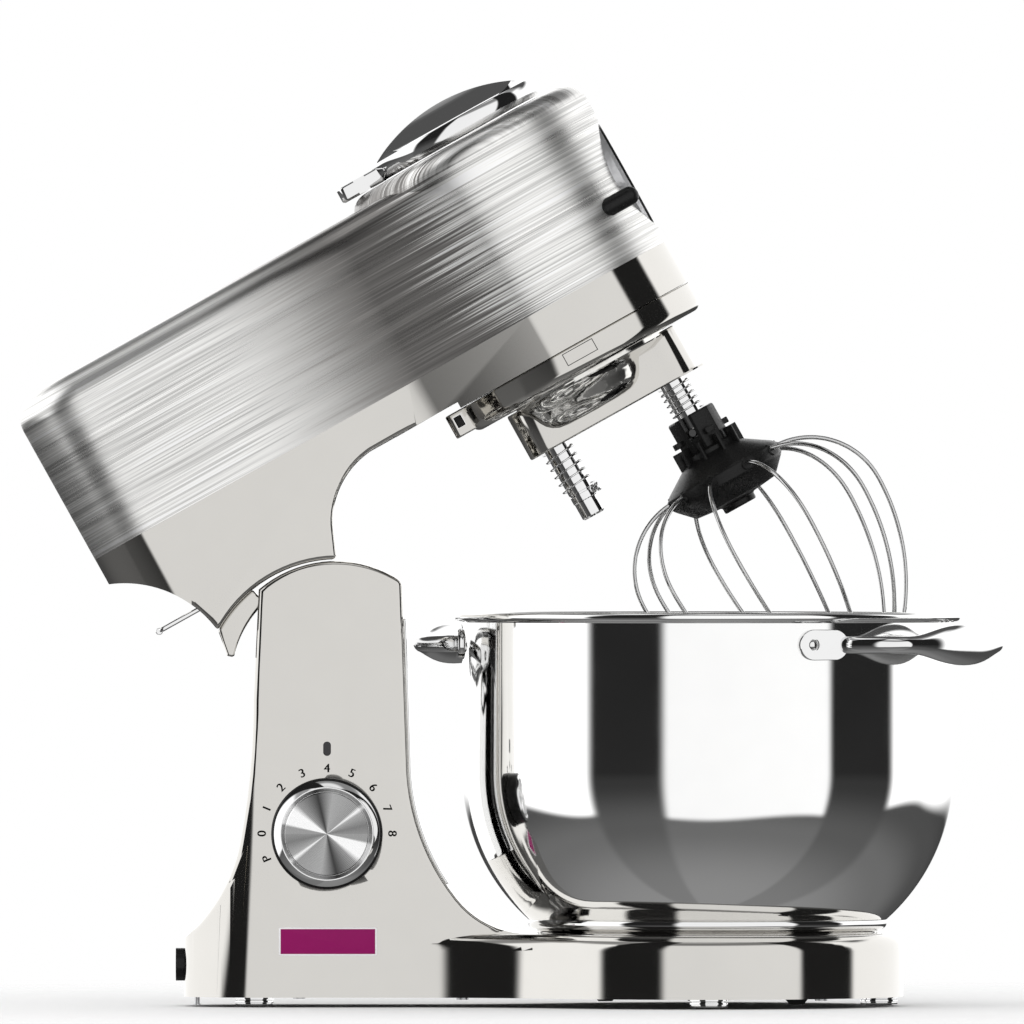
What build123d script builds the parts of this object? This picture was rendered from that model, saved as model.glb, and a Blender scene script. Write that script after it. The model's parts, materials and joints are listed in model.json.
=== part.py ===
"""Tilt-head stand mixer with a planetary drive, a steel bowl and a wire whisk.

Frame: +X points to the machine's front, +Z up. The origin is on the counter, under the bowl's axis.
The head is stored tilted up. Its pieces are modelled level, with the tilt hinge as their origin
(u forward, y across, w up), and then turned up about the hinge.
"""
from build123d import *
import math
import os

# Stand
HALF_WIDTH = 44.0
WALL = 2.5
BASE_BOTTOM = 4.4
BASE_TOP = 35.5
BASE_REAR = -256.5
BASE_CORNER = 37.0
BASE_ROUND = 8.0
DISC_X = -4.0
DISC_R = 100.0
WAIST_R = 120.0
COLUMN_FRONT = -149.5
COLUMN_REAR = -219.5
ROOF_R = 57.6
FRONT_KNEE = (-146.6, 121.0)
FRONT_TOE_X = -87.5
SWEEP_R = 45.0
REAR_KNEE = (-222.0, 150.0)
BACK_R = 380.0
BACK_TURN = 10.6
FLARE_R = 80.9
TRIM = 1.2
NOTCH_HALF = 38.0
NOTCH_FRONT = -184.5
NOTCH_BOTTOM = 189.5
SOCKET_R = 84.0
SOCKET_FLOOR = 17.0
FOOT_R = 9.2
PAD_R = 7.0
GLAND_R = 6.0
GLAND_Z = 20.0

# Hinge and head
PIVOT = (-182.0, 160.0)
TILT = 29.2
AXIS_U = 182.0
HEAD_REAR = -74.5
HEAD_CORNER = 33.0
FRONT_R = 64.0
FLARE = 13.0
KNEE_R = 180.0
SEAM_W = 108.3
TOP_W = 194.3
PLATEAU_W = 200.4
UNDERSIDE_W = 88.9
CAP_TOP = 85.8
CAP_BOTTOM = 71.5
TOP_ROUND = 14.0
SKIRT_HALF = 37.0
SKIRT_R = 51.0
ARM_Y = 33.0
PIN_R = 5.0
BUSH_R = 7.0
RUNNING = 0.05

# Gears
MODULE = 1.25
PRESSURE = 25.0
ADDENDUM = 0.9
DEDENDUM = 1.15
FLANK_SLACK = 0.1
RING_TEETH = 68
PLANET_TEETH = 16
WHEEL_TEETH = 36
PINION_TEETH = 12
SPINDLE_OFFSET = MODULE * (RING_TEETH - PLANET_TEETH) / 2
LAYSHAFT_U = AXIS_U - MODULE * (WHEEL_TEETH + PINION_TEETH) / 2
MOTOR_U = -5.0
SHAFT_R = 4.0
MAIN_SHAFT_R = 6.0
SMALL_BEARING_R = 8.0
MAIN_BEARING_R = 11.0
LOW_PLATE = (86.0, 90.0)
TOP_PLATE = (117.0, 121.0)
BRIDGE = (181.0, 185.0)
SLOW_GEARS = (92.0, 102.0)
FAST_GEARS = (106.0, 114.0)
PULLEY = (167.0, 179.0)
PULLEY_LIP = 1.6
SMALL_PULLEY_R = 9.0
BIG_PULLEY_R = 27.0
COUPLING = (187.0, 199.0)

# Motor
MOTOR_R = 36.0
MOTOR_INNER_R = 34.0
MOTOR_LOW = 93.0
MOTOR_HIGH = 159.0
END_PLATE = 3.0
CORE = (108.0, 150.0)
ROTOR_R = 20.0
FAN_R = 30.0

# Front outlet, release lever and lid
PORT_W = 146.7
PORT_R = 30.8
PORT_RING_INNER_R = 28.8
PORT_COVER_R = 28.4
SPIGOT_R = 21.0
BUTTON_R = 4.65
BUTTON_PLACE = (-42, 136)
LEVER_PIN = (-30, 62.5)
LEVER_PIN_R = 2.0
LID_R = 46.0
LID_TOP = 211.0
RIDGE_TOP = 221.5
RIDGE_HALF = 44.0
OUTLET_R = 14.0

# Yoke, spindles and whisk
BAR_BOTTOM = 46.5
BAR_HALF = 46.45
BAR_HALF_WIDTH = 13.5
YOKE_TOP = 74.5
DOME_R = 41.0
SPINDLE_R = 6.35
TIP_R = 6.0
SPINDLE_DROP = 38.5
CROSS_PIN_DROP = 26.7
CROSS_PIN_R = 2.25
HUB_TOP_DROP = 18.0
WIRE_R = 1.1
WHISK_R = 66.0
WHISK_WAIST_DROP = 90.0
WHISK_PHASE = 5.0

# Bowl
BOWL_R = 120.5
SHEET = 1.0
RIM_Z = 190.35
RIM_ROLL = 2.25
CURVE_R = 97.6
CURVE_Z = 115.0
BOWL_FLOOR = 27.0
HANDLE_AZIMUTH = -31.35
HANDLE_Z = 177.0
GRIP_R = 145.7
GRIP_TURN = 18
ARM_R = 4.4
BRACKET_TURN = 31.35
BRACKET = 2.2
RIVET_R = 2.9

# Knob
KNOB_X = -186.1
KNOB_Z = 84.6
KNOB_R = 27.2
KNOB_PROUD = 18.0

HEAD = Location((PIVOT[0], 0, PIVOT[1]), (0, -TILT, 0))


def save(name, shape):
    """Write one node."""
    export_step(Compound(label=name, children=list(shape.solids())), f"parts/{name}.step")


def save_head(name, shape):
    """Write one node of the head, turned up about the hinge."""
    save(name, HEAD * shape)


def polar(centre, radius, degrees):
    """Point at an angle on a circle."""
    turn = math.radians(degrees)
    return (centre[0] + radius * math.cos(turn), centre[1] + radius * math.sin(turn))


def arc(centre, radius, start, end):
    """Arc about a centre between two angles."""
    points = [polar(centre, radius, a) for a in (start, (start + end) / 2, end)]
    return ThreePointArc(*points)


def face_of(edges):
    """Face inside a closed row of edges."""
    return make_face(Wire([e for curve in edges for e in curve.edges()]))


def polygon(*points):
    """Face with straight sides."""
    return make_face(Polyline(*points, close=True))


def side(face, half):
    """Side view face, made solid across the machine."""
    return extrude(Plane.XZ * face, amount=half, both=True)


def raised(face, low, high):
    """Plan view face, made solid between two heights."""
    return extrude(Pos(0, 0, low) * face, amount=high - low)


def disc(radius, low, high, x=0.0, y=0.0):
    """Upright cylinder between two heights."""
    return Pos(x, y, (low + high) / 2) * Cylinder(radius, high - low)


def tube(outer, inner, low, high, x=0.0, y=0.0):
    """Upright ring between two heights."""
    return disc(outer, low, high, x, y) - disc(inner, low, high, x, y)


def block(x, y, z):
    """Box from its low and high limits along each axis."""
    middle = [(a + b) / 2 for a, b in (x, y, z)]
    return Pos(*middle) * Box(x[1] - x[0], y[1] - y[0], z[1] - z[0])


def cross_rod(radius, y_low, y_high, x, z):
    """Cylinder that lies across the machine."""
    return Pos(x, (y_low + y_high) / 2, z) * Rot(90, 0, 0) * Cylinder(radius, y_high - y_low)


def long_rod(radius, low, high, y, z):
    """Cylinder that lies along the machine."""
    return Pos((low + high) / 2, y, z) * Rot(0, 90, 0) * Cylinder(radius, high - low)


def mirrored(half):
    """Half outline joined with its mirror image across the middle."""
    return half + mirror(half, Plane.XZ)


# ---------------------------------------------------------------- stand

def base_outline(inset=0.0):
    """Plan of the base: rounded rear, straight sides, hollow waist and round front."""
    rear = BASE_REAR + inset
    half = HALF_WIDTH - inset
    corner = BASE_CORNER - inset
    waist = WAIST_R + inset
    front = DISC_R - inset
    waist_x = DISC_X - math.sqrt((waist + front) ** 2 - (half + waist) ** 2)
    turn = math.degrees(math.atan2(half + waist, waist_x - DISC_X))
    start, end = (rear, 0), (DISC_X + front, 0)
    return mirrored(face_of([
        Line(start, (rear, half - corner)),
        arc((rear + corner, half - corner), corner, 180, 90),
        Line((rear + corner, half), (waist_x, half)),
        arc((waist_x, half + waist), waist, -90, turn - 180),
        arc((DISC_X, 0), front, turn, 0),
        Line(end, start),
    ]))


def column_profile(inset=0.0):
    """Side view of the column: round roof about the hinge, flared foot at rear and front."""
    roof = ROOF_R - inset
    front_x = COLUMN_FRONT - inset
    rear_x = COLUMN_REAR + inset
    front_turn = math.degrees(math.acos((front_x - PIVOT[0]) / roof))
    rear_turn = math.degrees(math.acos((rear_x - PIVOT[0]) / roof))
    front_knee = (FRONT_KNEE[0] - inset, FRONT_KNEE[1])
    rear_knee = (REAR_KNEE[0] + inset, REAR_KNEE[1])
    reach = FRONT_TOE_X - FRONT_KNEE[0]
    drop = FRONT_KNEE[1] - BASE_TOP - SWEEP_R
    swell_r = (reach ** 2 + drop ** 2 - SWEEP_R ** 2) / (2 * (reach - SWEEP_R))
    swell = (FRONT_KNEE[0] + swell_r, FRONT_KNEE[1])
    sweep_low = (FRONT_TOE_X, BASE_TOP + SWEEP_R)
    swell_turn = math.degrees(math.atan2(swell[1] - sweep_low[1], swell[0] - sweep_low[0])) + 180
    back = (REAR_KNEE[0] - BACK_R, REAR_KNEE[1])
    flare = polar(back, BACK_R - FLARE_R, -BACK_TURN)
    toe_x = BASE_REAR + inset
    toe_turn = -math.degrees(math.acos((toe_x - flare[0]) / (FLARE_R + inset)))
    toe = polar(flare, FLARE_R + inset, toe_turn)
    return face_of([
        arc(PIVOT, roof, rear_turn, front_turn),
        Line(polar(PIVOT, roof, front_turn), front_knee),
        arc(swell, swell_r + inset, 180, swell_turn),
        arc(sweep_low, SWEEP_R + inset, swell_turn, 270),
        Line((FRONT_TOE_X, BASE_TOP - inset), (FRONT_TOE_X, BASE_BOTTOM)),
        Line((FRONT_TOE_X, BASE_BOTTOM), (toe_x, BASE_BOTTOM)),
        Line((toe_x, BASE_BOTTOM), toe),
        arc(flare, FLARE_R + inset, toe_turn, -BACK_TURN),
        arc(back, BACK_R + inset, -BACK_TURN, 0),
        Line(rear_knee, polar(PIVOT, roof, rear_turn)),
    ])


def stand_shell():
    """Base and column in one hollow casting, open below and slotted for the head's skirt."""
    outline = base_outline()
    base = raised(outline, BASE_BOTTOM, BASE_TOP)
    base = fillet(base.faces().sort_by(Axis.Z)[-1].edges(), BASE_ROUND)
    high = PIVOT[1] + ROOF_R + 5
    column = side(column_profile(), HALF_WIDTH) & raised(outline, BASE_BOTTOM, high)
    column_room = side(column_profile(WALL), HALF_WIDTH - WALL)
    column_room &= raised(base_outline(WALL), BASE_BOTTOM, high)
    base_room = raised(base_outline(WALL), BASE_BOTTOM, BASE_TOP - BASE_ROUND)
    base_room += raised(base_outline(WALL + 4), BASE_BOTTOM, BASE_TOP - WALL)
    shell = base + column - base_room - column_room
    shell -= disc(SOCKET_R, BASE_TOP - WALL - 1, BASE_TOP + 1)
    inner = HALF_WIDTH - WALL
    for low, top in ((-inner - 1, -ARM_Y - 3.6), (ARM_Y + 3.6, inner + 1)):
        shell += cross_rod(14, low, top, *PIVOT) - cross_rod(PIN_R, -50, 50, *PIVOT)
    notch = (-NOTCH_HALF, NOTCH_HALF)
    shell -= block((COLUMN_REAR - 8, NOTCH_FRONT), notch, (NOTCH_BOTTOM, high))
    shell -= cross_rod(3.3, -HALF_WIDTH - 1, -HALF_WIDTH + WALL + 1, KNOB_X, KNOB_Z)
    shell -= long_rod(GLAND_R, BASE_REAR - 1, BASE_REAR + WALL + 1, 0, GLAND_Z)
    return shell


def column_trim():
    """Bright strip down the column's front edge."""
    strip = side(column_profile(-TRIM), HALF_WIDTH - 6)
    strip -= side(column_profile(), HALF_WIDTH)
    return strip & block((COLUMN_FRONT - 2, -100), (-50, 50), (60, NOTCH_BOTTOM))


def foot_places():
    """Centres of the five feet."""
    return [(-222, -26), (-222, 26), (0, -84), (0, 84), (84, 0)]


def stand_parts():
    """Everything fixed to the stand."""
    save("stand_shell", stand_shell())
    save("column_trim", column_trim())
    plate = raised(base_outline(WALL), BASE_BOTTOM, BASE_BOTTOM + 2)
    save("bottom_plate", plate)
    rings = [tube(FOOT_R, PAD_R, 0.4, BASE_BOTTOM, x, y) for x, y in foot_places()]
    save("foot_rings", Compound(rings))
    pads = [disc(PAD_R, 0, BASE_BOTTOM, x, y) for x, y in foot_places() + [(0, 0)]]
    save("foot_pads", Compound(pads))
    wedge = polygon((-6, 4.4), (6, 4.4), (3.5, 1.4), (-3.5, 1.4))
    buffers = [Pos(x, y, 0) * side(wedge, 6) for x, y in ((-50, 30), (43, -50), (8, 60))]
    save("rubber_buffers", Compound(buffers))
    screws = [disc(3, 3.2, BASE_BOTTOM, x, y) for x, y in
              ((-200, 0), (-120, -30), (-120, 30), (-60, 0), (55, -55), (55, 55))]
    screws.append(disc(1.2, 0.6, BASE_BOTTOM, -250) + disc(1.8, 0.2, 0.6, -250))
    save("bottom_screws", Compound(screws))
    cup = disc(SOCKET_R, SOCKET_FLOOR - 2, BASE_TOP - 0.5)
    cup -= disc(SOCKET_R - 2, SOCKET_FLOOR, BASE_TOP)
    save("bowl_socket", cup)
    save("hinge_pin", cross_rod(PIN_R, -HALF_WIDTH + WALL, HALF_WIDTH - WALL, *PIVOT))


def control_parts():
    """Speed control behind the knob, its lamp, the blank badge and the cord's inlet."""
    inner = -HALF_WIDTH + WALL
    switch = block((KNOB_X - 16, KNOB_X + 16), (inner, inner + 18), (KNOB_Z - 16, KNOB_Z + 16))
    switch -= cross_rod(3 + RUNNING, inner - 1, inner + 12, KNOB_X, KNOB_Z)
    save("speed_switch", switch)
    board = block((-212, -158), (inner + 18, inner + 19.6), (62, 134))
    parts = [block((x, x + 12), (inner + 19.6, inner + 30), (z, z + 14))
             for x, z in ((-208, 68), (-190, 68), (-208, 100), (-176, 108))]
    save("control_board", board + parts)
    pill = SlotOverall(7, 3.8, rotation=90)
    lens = extrude(Plane((KNOB_X, -HALF_WIDTH, 126), (1, 0, 0), (0, -1, 0)) * pill, 0.7)
    save("indicator_lens", lens)
    badge = block((-209.7, -161.7), (-HALF_WIDTH - 1.2, -HALF_WIDTH), (24.9, 38.8))
    badge = fillet(badge.edges().filter_by(Axis.Y), 1)
    save("badge_plate", badge)
    gland = long_rod(GLAND_R, BASE_REAR - 4, BASE_REAR + 12, 0, GLAND_Z)
    gland += long_rod(GLAND_R + 2, BASE_REAR - 4, BASE_REAR, 0, GLAND_Z)
    gland -= long_rod(3.6, BASE_REAR - 5, BASE_REAR + 13, 0, GLAND_Z)
    save("cord_gland", gland)


def knob_parts():
    """Speed knob: bevelled ring, spun metal cap and spindle."""
    face = -HALF_WIDTH - 0.6
    front = face - KNOB_PROUD
    ring = cross_rod(KNOB_R, front, face, KNOB_X, KNOB_Z)
    ring = chamfer(ring.edges().group_by(Axis.Y)[0], 4)
    ring -= cross_rod(20.6, front - 1, front + 2, KNOB_X, KNOB_Z)
    ring -= cross_rod(3, front, face + 1, KNOB_X, KNOB_Z)
    save("knob_ring", ring)
    save("knob_cap", cross_rod(20.6, front, front + 2, KNOB_X, KNOB_Z))
    save("knob_spindle", cross_rod(3, front + 2, -HALF_WIDTH + WALL + 11, KNOB_X, KNOB_Z))


# ---------------------------------------------------------------- bowl

def bowl_section(inset=0.0):
    """Half section of the bowl's outer surface, moved in by the inset."""
    centre = (BOWL_R - CURVE_R, CURVE_Z)
    radius = CURVE_R - inset
    floor = BOWL_FLOOR + inset
    turn = -math.degrees(math.asin((CURVE_Z - floor) / radius))
    foot = polar(centre, radius, turn)
    wall = BOWL_R - inset
    return face_of([
        Line((0, floor), foot),
        arc(centre, radius, turn, 0),
        Line((wall, CURVE_Z), (wall, RIM_Z)),
        Line((wall, RIM_Z), (0, RIM_Z)),
        Line((0, RIM_Z), (0, floor)),
    ])


def bowl_shell():
    """Spun bowl with a rolled rim."""
    wall = bowl_section() - bowl_section(SHEET)
    roll = Pos(BOWL_R + RIM_ROLL - SHEET, RIM_Z) * Circle(RIM_ROLL)
    return revolve(Plane.XZ * (wall + roll), Axis.Z)


def bowl_foot():
    """Foot ring under the bowl, with three bayonet lugs."""
    high = 38.0
    foot = tube(80, 62, SOCKET_FLOOR + 0.4, high)
    foot -= revolve(Plane.XZ * bowl_section(), Axis.Z)
    foot -= disc(75, SOCKET_FLOOR, BOWL_FLOOR - 2)
    for k in range(3):
        lug = block((79, 81.4), (-8, 8), (SOCKET_FLOOR + 3, SOCKET_FLOOR + 6))
        foot += Rot(0, 0, 120 * k + 60) * lug
    return foot


def bowl_handle():
    """Handle along +X of the bowl: two riveted brackets, bent arms and a thick grip."""
    def sector(radius_in, radius_out, start, end, low, high):
        band = raised(polygon((0, 0), *[polar((0, 0), 170, a) for a in
                      (start, (start + end) / 2, end)]), low, high)
        return band & tube(radius_out, radius_in, low, high)

    handle = None
    for sign in (-1, 1):
        pad = sector(BOWL_R, BOWL_R + BRACKET, sign * 25, sign * 37.7, HANDLE_Z - 7.5, HANDLE_Z + 7.5)
        pad -= Rot(0, 0, sign * BRACKET_TURN) * long_rod(RIVET_R, 110, 130, 0, HANDLE_Z)
        root = Vector(*polar((0, 0), BOWL_R + 2.5, sign * 26.5), HANDLE_Z)
        bend = Vector(*polar((0, 0), GRIP_R, sign * GRIP_TURN), HANDLE_Z)
        arm = Plane(root, z_dir=bend - root) * Pos(0, 0, (bend - root).length / 2)
        piece = pad + arm * Cylinder(ARM_R, (bend - root).length)
        piece += Pos(*root) * Sphere(ARM_R)
        piece += Pos(*bend) * Sphere(ARM_R)
        handle = piece if handle is None else handle + piece
    arms = Plane.XZ * (Pos(GRIP_R, HANDLE_Z) * Circle(ARM_R))
    handle += Rot(0, 0, -GRIP_TURN) * revolve(arms, Axis.Z, 2 * GRIP_TURN)
    grip = Plane.XZ * (Pos(GRIP_R, HANDLE_Z) * Ellipse(4.9, 10.2))
    handle += Rot(0, 0, -11) * revolve(grip, Axis.Z, 22)
    return handle - disc(BOWL_R, HANDLE_Z - 20, HANDLE_Z + 20)


def bowl_parts():
    """The lift-out bowl with its foot, handles and rivets."""
    save("bowl_shell", bowl_shell())
    save("bowl_foot", bowl_foot())
    handle = bowl_handle()
    save("handle_front", Rot(0, 0, HANDLE_AZIMUTH) * handle)
    save("handle_rear", Rot(0, 0, HANDLE_AZIMUTH + 180) * handle)
    rivet = long_rod(RIVET_R, BOWL_R, BOWL_R + BRACKET, 0, HANDLE_Z)
    rivet += long_rod(4.2, BOWL_R + BRACKET, BOWL_R + BRACKET + 1.2, 0, HANDLE_Z)
    rivet -= disc(BOWL_R, HANDLE_Z - 20, HANDLE_Z + 20)
    angles = [HANDLE_AZIMUTH + turn + sign * BRACKET_TURN for turn in (0, 180) for sign in (-1, 1)]
    save("handle_rivets", Compound([Rot(0, 0, a) * rivet for a in angles]))


# ---------------------------------------------------------------- head shells

def head_outline(inset=0.0):
    """Plan of the head: rounded rear, straight sides that flare out to a round front."""
    rear = HEAD_REAR + inset
    half = HALF_WIDTH - inset
    corner = HEAD_CORNER - inset
    front = FRONT_R - inset
    tangent = polar((AXIS_U, 0), front, 90 + FLARE)
    rise = FRONT_R * math.cos(math.radians(FLARE)) - HALF_WIDTH
    knee_u = AXIS_U - FRONT_R * math.sin(math.radians(FLARE)) - rise / math.tan(math.radians(FLARE))
    knee = (knee_u - KNEE_R * math.tan(math.radians(FLARE / 2)), HALF_WIDTH + KNEE_R)
    knee_end = polar(knee, KNEE_R + inset, FLARE - 90)
    start, end = (rear, 0), (AXIS_U + front, 0)
    return mirrored(face_of([
        Line(start, (rear, half - corner)),
        arc((rear + corner, half - corner), corner, 180, 90),
        Line((rear + corner, half), (knee[0], half)),
        arc(knee, KNEE_R + inset, -90, FLARE - 90),
        Line(knee_end, tangent),
        arc((AXIS_U, 0), front, 90 + FLARE, 0),
        Line(end, start),
    ]))


def lower_profile():
    """Side view of the head's lower shell with its curved neck."""
    rear_tip = (HEAD_REAR - 0.5, 94.7)
    hood_tip = (-38.6, 48.5)
    hood_front = (29.1, 50.8)
    throat = (35.6, 66.2)
    underside = (69.3, UNDERSIDE_W)
    cap_rear = AXIS_U - FRONT_R
    front = AXIS_U + FRONT_R + 1
    return face_of([
        Line((HEAD_REAR - 0.5, SEAM_W), rear_tip),
        ThreePointArc(rear_tip, (-49.5, 75.7), hood_tip),
        ThreePointArc(hood_tip, (-10.3, 58.5), hood_front),
        Line(hood_front, throat),
        ThreePointArc(throat, (48.6, 81.4), underside),
        Line(underside, (cap_rear, UNDERSIDE_W)),
        Line((cap_rear, UNDERSIDE_W), (cap_rear, CAP_TOP)),
        Line((cap_rear, CAP_TOP), (front, CAP_TOP)),
        Line((front, CAP_TOP), (front, SEAM_W)),
        Line((front, SEAM_W), (HEAD_REAR - 0.5, SEAM_W)),
    ])


def head_lower_shell():
    """Polished lower shell: tray, neck and hood over the column's roof."""
    low = 30.0
    outer = side(lower_profile(), 80) & raised(head_outline(), low, SEAM_W)
    neck = offset(lower_profile(), -WALL)
    neck += polygon((-70, 98), (110, 98), (110, SEAM_W), (-70, SEAM_W))
    room = side(neck, 80) & raised(head_outline(WALL), low, SEAM_W)
    room += raised(head_outline(WALL), 98, SEAM_W)
    shell = outer - room - disc(FRONT_R - WALL, 80, SEAM_W, AXIS_U)
    shell -= block((-50, -34), (-13, 13), (59, 70))
    for y in (-16.5, 13):
        lug = block((-34, -26), (y, y + 3.5), (56, 66))
        lug -= cross_rod(LEVER_PIN_R, -20, 20, *LEVER_PIN)
        shell += lug
    return shell


def cover_body(inset=0.0):
    """Solid shape of the brushed cover, or of the room inside it."""
    top = TOP_W - inset
    body = raised(head_outline(inset), SEAM_W, top)
    body = fillet(body.faces().sort_by(Axis.Z)[-1].edges(), TOP_ROUND - inset)
    plateau = disc(FRONT_R - inset, SEAM_W, PLATEAU_W - inset, AXIS_U)
    plateau = fillet(plateau.edges().group_by(Axis.Z)[-1], 10 - inset)
    return body + plateau


def port_bore(radius, low, high):
    """Cylinder along the front port's axis."""
    return long_rod(radius, low, high, 0, PORT_W)


def head_cover():
    """Brushed steel cover with its port, top outlet and button holes."""
    cover = cover_body() - cover_body(WALL)
    cover -= disc(OUTLET_R, 190, 205, AXIS_U)
    cover -= port_bore(PORT_R, AXIS_U, AXIS_U + FRONT_R + 2)
    cover -= long_rod(BUTTON_R + 0.1, 210, 250, *BUTTON_PLACE)
    return cover


def neck_skirt():
    """Curved guard on the neck that slides under the column's roof."""
    sheet = face_of_sector(SKIRT_R, 54.6, 65.8, 138.8)
    rim = face_of_sector(SKIRT_R, 64, 103.8, 138.8) - lower_profile()
    rim -= polygon((-38.6, 48.5), (-41, 33), (-90, 33), (-90, 60), (-38.6, 60))
    return side(sheet, SKIRT_HALF) + side(rim, SKIRT_HALF)


def face_of_sector(inner, outer, start, end):
    """Piece of a ring about the hinge, between two angles."""
    return face_of([
        arc((0, 0), outer, start, end),
        Line(polar((0, 0), outer, end), polar((0, 0), inner, end)),
        arc((0, 0), inner, end, start),
        Line(polar((0, 0), inner, start), polar((0, 0), outer, start)),
    ])


def hinge_arms():
    """Two steel arms from the skirt down to the hinge."""
    web = polygon((10, 6), polar((0, 0), 56, 68), polar((0, 0), 56, 84),
                  polar((0, 0), 56, 99), (-11, 4))
    face = (Circle(12) + web) & Circle(SKIRT_R)
    face -= Circle(BUSH_R)
    arm = extrude(Plane.XZ * face, amount=3, both=True)
    return Compound([Pos(0, y, 0) * arm for y in (-ARM_Y, ARM_Y)])


def front_cap():
    """Round lower cap of the planetary housing."""
    cap = disc(FRONT_R, CAP_BOTTOM, CAP_TOP, AXIS_U)
    cap = fillet(cap.edges().group_by(Axis.Z)[0], 5)
    cap -= disc(FRONT_R - WALL, YOKE_TOP, CAP_TOP + 1, AXIS_U)
    cap -= disc(DOME_R + 0.8, CAP_BOTTOM - 1, YOKE_TOP + 1, AXIS_U)
    panel = cap_panel_box()
    return cap - panel


def cap_panel_box():
    """Space of the small panel let into the cap's side."""
    return block((AXIS_U - 8.4, AXIS_U + 8.4), (-FRONT_R - 1, -FRONT_R + 1.5), (78, 84.3))


def cap_side_panel():
    """Small panel let into the cap's side."""
    return cap_panel_box() & disc(FRONT_R, CAP_BOTTOM, CAP_TOP, AXIS_U)


def cap_catch():
    """Latch block behind the cap, with a square slot through it."""
    rear = AXIS_U - FRONT_R
    catch = block((rear - 9, rear + 6), (-12, 12), (74, CAP_TOP))
    catch -= disc(FRONT_R, 70, UNDERSIDE_W + 1, AXIS_U)
    catch -= block((rear - 6, rear - 1.5), (-13, 13), (78, 85))
    return catch


def head_shell_parts():
    """Shells and fittings that show on the head."""
    save_head("head_cover", head_cover())
    save_head("head_lower_shell", head_lower_shell())
    save_head("neck_skirt", neck_skirt())
    save_head("hinge_arms", hinge_arms())
    save_head("front_cap", front_cap())
    save_head("cap_side_panel", cap_side_panel())
    save_head("cap_catch", cap_catch())
    ring = port_bore(PORT_R, 232, 245.6) - port_bore(PORT_RING_INNER_R, 231, 247)
    save_head("port_ring", ring)
    socket = port_bore(PORT_RING_INNER_R, 234, 237) + port_bore(26, 221, 237)
    socket -= port_bore(SPIGOT_R, 220, 238)
    save_head("port_socket", socket)
    save_head("port_cover", port_bore(PORT_COVER_R, 238, 245))
    button = long_rod(BUTTON_R, 222, 245, *BUTTON_PLACE)
    save_head("port_release", fillet(button.edges().group_by(Axis.X)[-1], 1))
    lever = block((-66, -30), (-11, 11), (61.3, 63.6)) + cross_rod(2 * LEVER_PIN_R, -12, 12, *LEVER_PIN)
    lever -= cross_rod(LEVER_PIN_R + RUNNING, -13, 13, *LEVER_PIN)
    save_head("release_lever", lever)
    save_head("lever_pin", cross_rod(LEVER_PIN_R, -16.5, 16.5, *LEVER_PIN))
    save_head("top_lid", top_lid())


def top_lid():
    """Lid over the top outlet: round tray, arched ridge and a rear tab."""
    low = PLATEAU_W + 0.6
    lid = disc(LID_R, low, LID_TOP, AXIS_U)
    ridge = face_of([
        Line((AXIS_U - RIDGE_HALF, LID_TOP - 2), (AXIS_U + RIDGE_HALF, LID_TOP - 2)),
        ThreePointArc((AXIS_U + RIDGE_HALF, LID_TOP - 2), (AXIS_U, RIDGE_TOP),
                      (AXIS_U - RIDGE_HALF, LID_TOP - 2)),
    ])
    lid += side(ridge, 40) & disc(LID_R - 1, low, 225, AXIS_U)
    tab = block((AXIS_U - 65.4, AXIS_U - RIDGE_HALF), (-16, 16), (low, LID_TOP - 4))
    lid += tab
    return lid - disc(OUTLET_R + 2, low - 1, LID_TOP - 4, AXIS_U)


# ---------------------------------------------------------------- gears and motor

def tooth_outline(teeth, inner, outer, slack, phase=0.0):
    """Closed outline of a toothed wheel, first tooth centred on the phase angle."""
    pitch = MODULE * teeth / 2
    pressure = math.radians(PRESSURE)
    base = pitch * math.cos(pressure)

    def half_angle(radius):
        """Half the angle of a tooth at a radius, from its involute flank."""
        local = math.acos(min(1.0, base / max(radius, base)))
        rise = math.tan(pressure) - pressure - math.tan(local) + local
        return math.degrees(math.pi / (2 * teeth) + slack / pitch + rise)

    points = []
    for k in range(teeth):
        middle = phase + 360 * k / teeth
        radii = (inner, (inner + 2 * outer) / 3, outer)
        points += [polar((0, 0), r, middle - half_angle(r)) for r in radii]
        points += [polar((0, 0), r, middle + half_angle(r)) for r in reversed(radii)]
    return polygon(*points)


def gear(teeth, low, high, phase=0.0):
    """Spur gear about the origin, without its bore."""
    pitch = MODULE * teeth / 2
    outline = tooth_outline(teeth, pitch - DEDENDUM * MODULE, pitch + ADDENDUM * MODULE,
                            -FLANK_SLACK, phase)
    return raised(outline, low, high)


def ring_gear():
    """Fixed internal gear round the planetary head, with a tooth gap on its +u line."""
    pitch = MODULE * RING_TEETH / 2
    space = tooth_outline(RING_TEETH, pitch - ADDENDUM * MODULE, pitch + DEDENDUM * MODULE,
                          FLANK_SLACK)
    ring = disc(52, YOKE_TOP, 82) - raised(space, YOKE_TOP, 82)
    return Pos(AXIS_U, 0, 0) * ring


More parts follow.
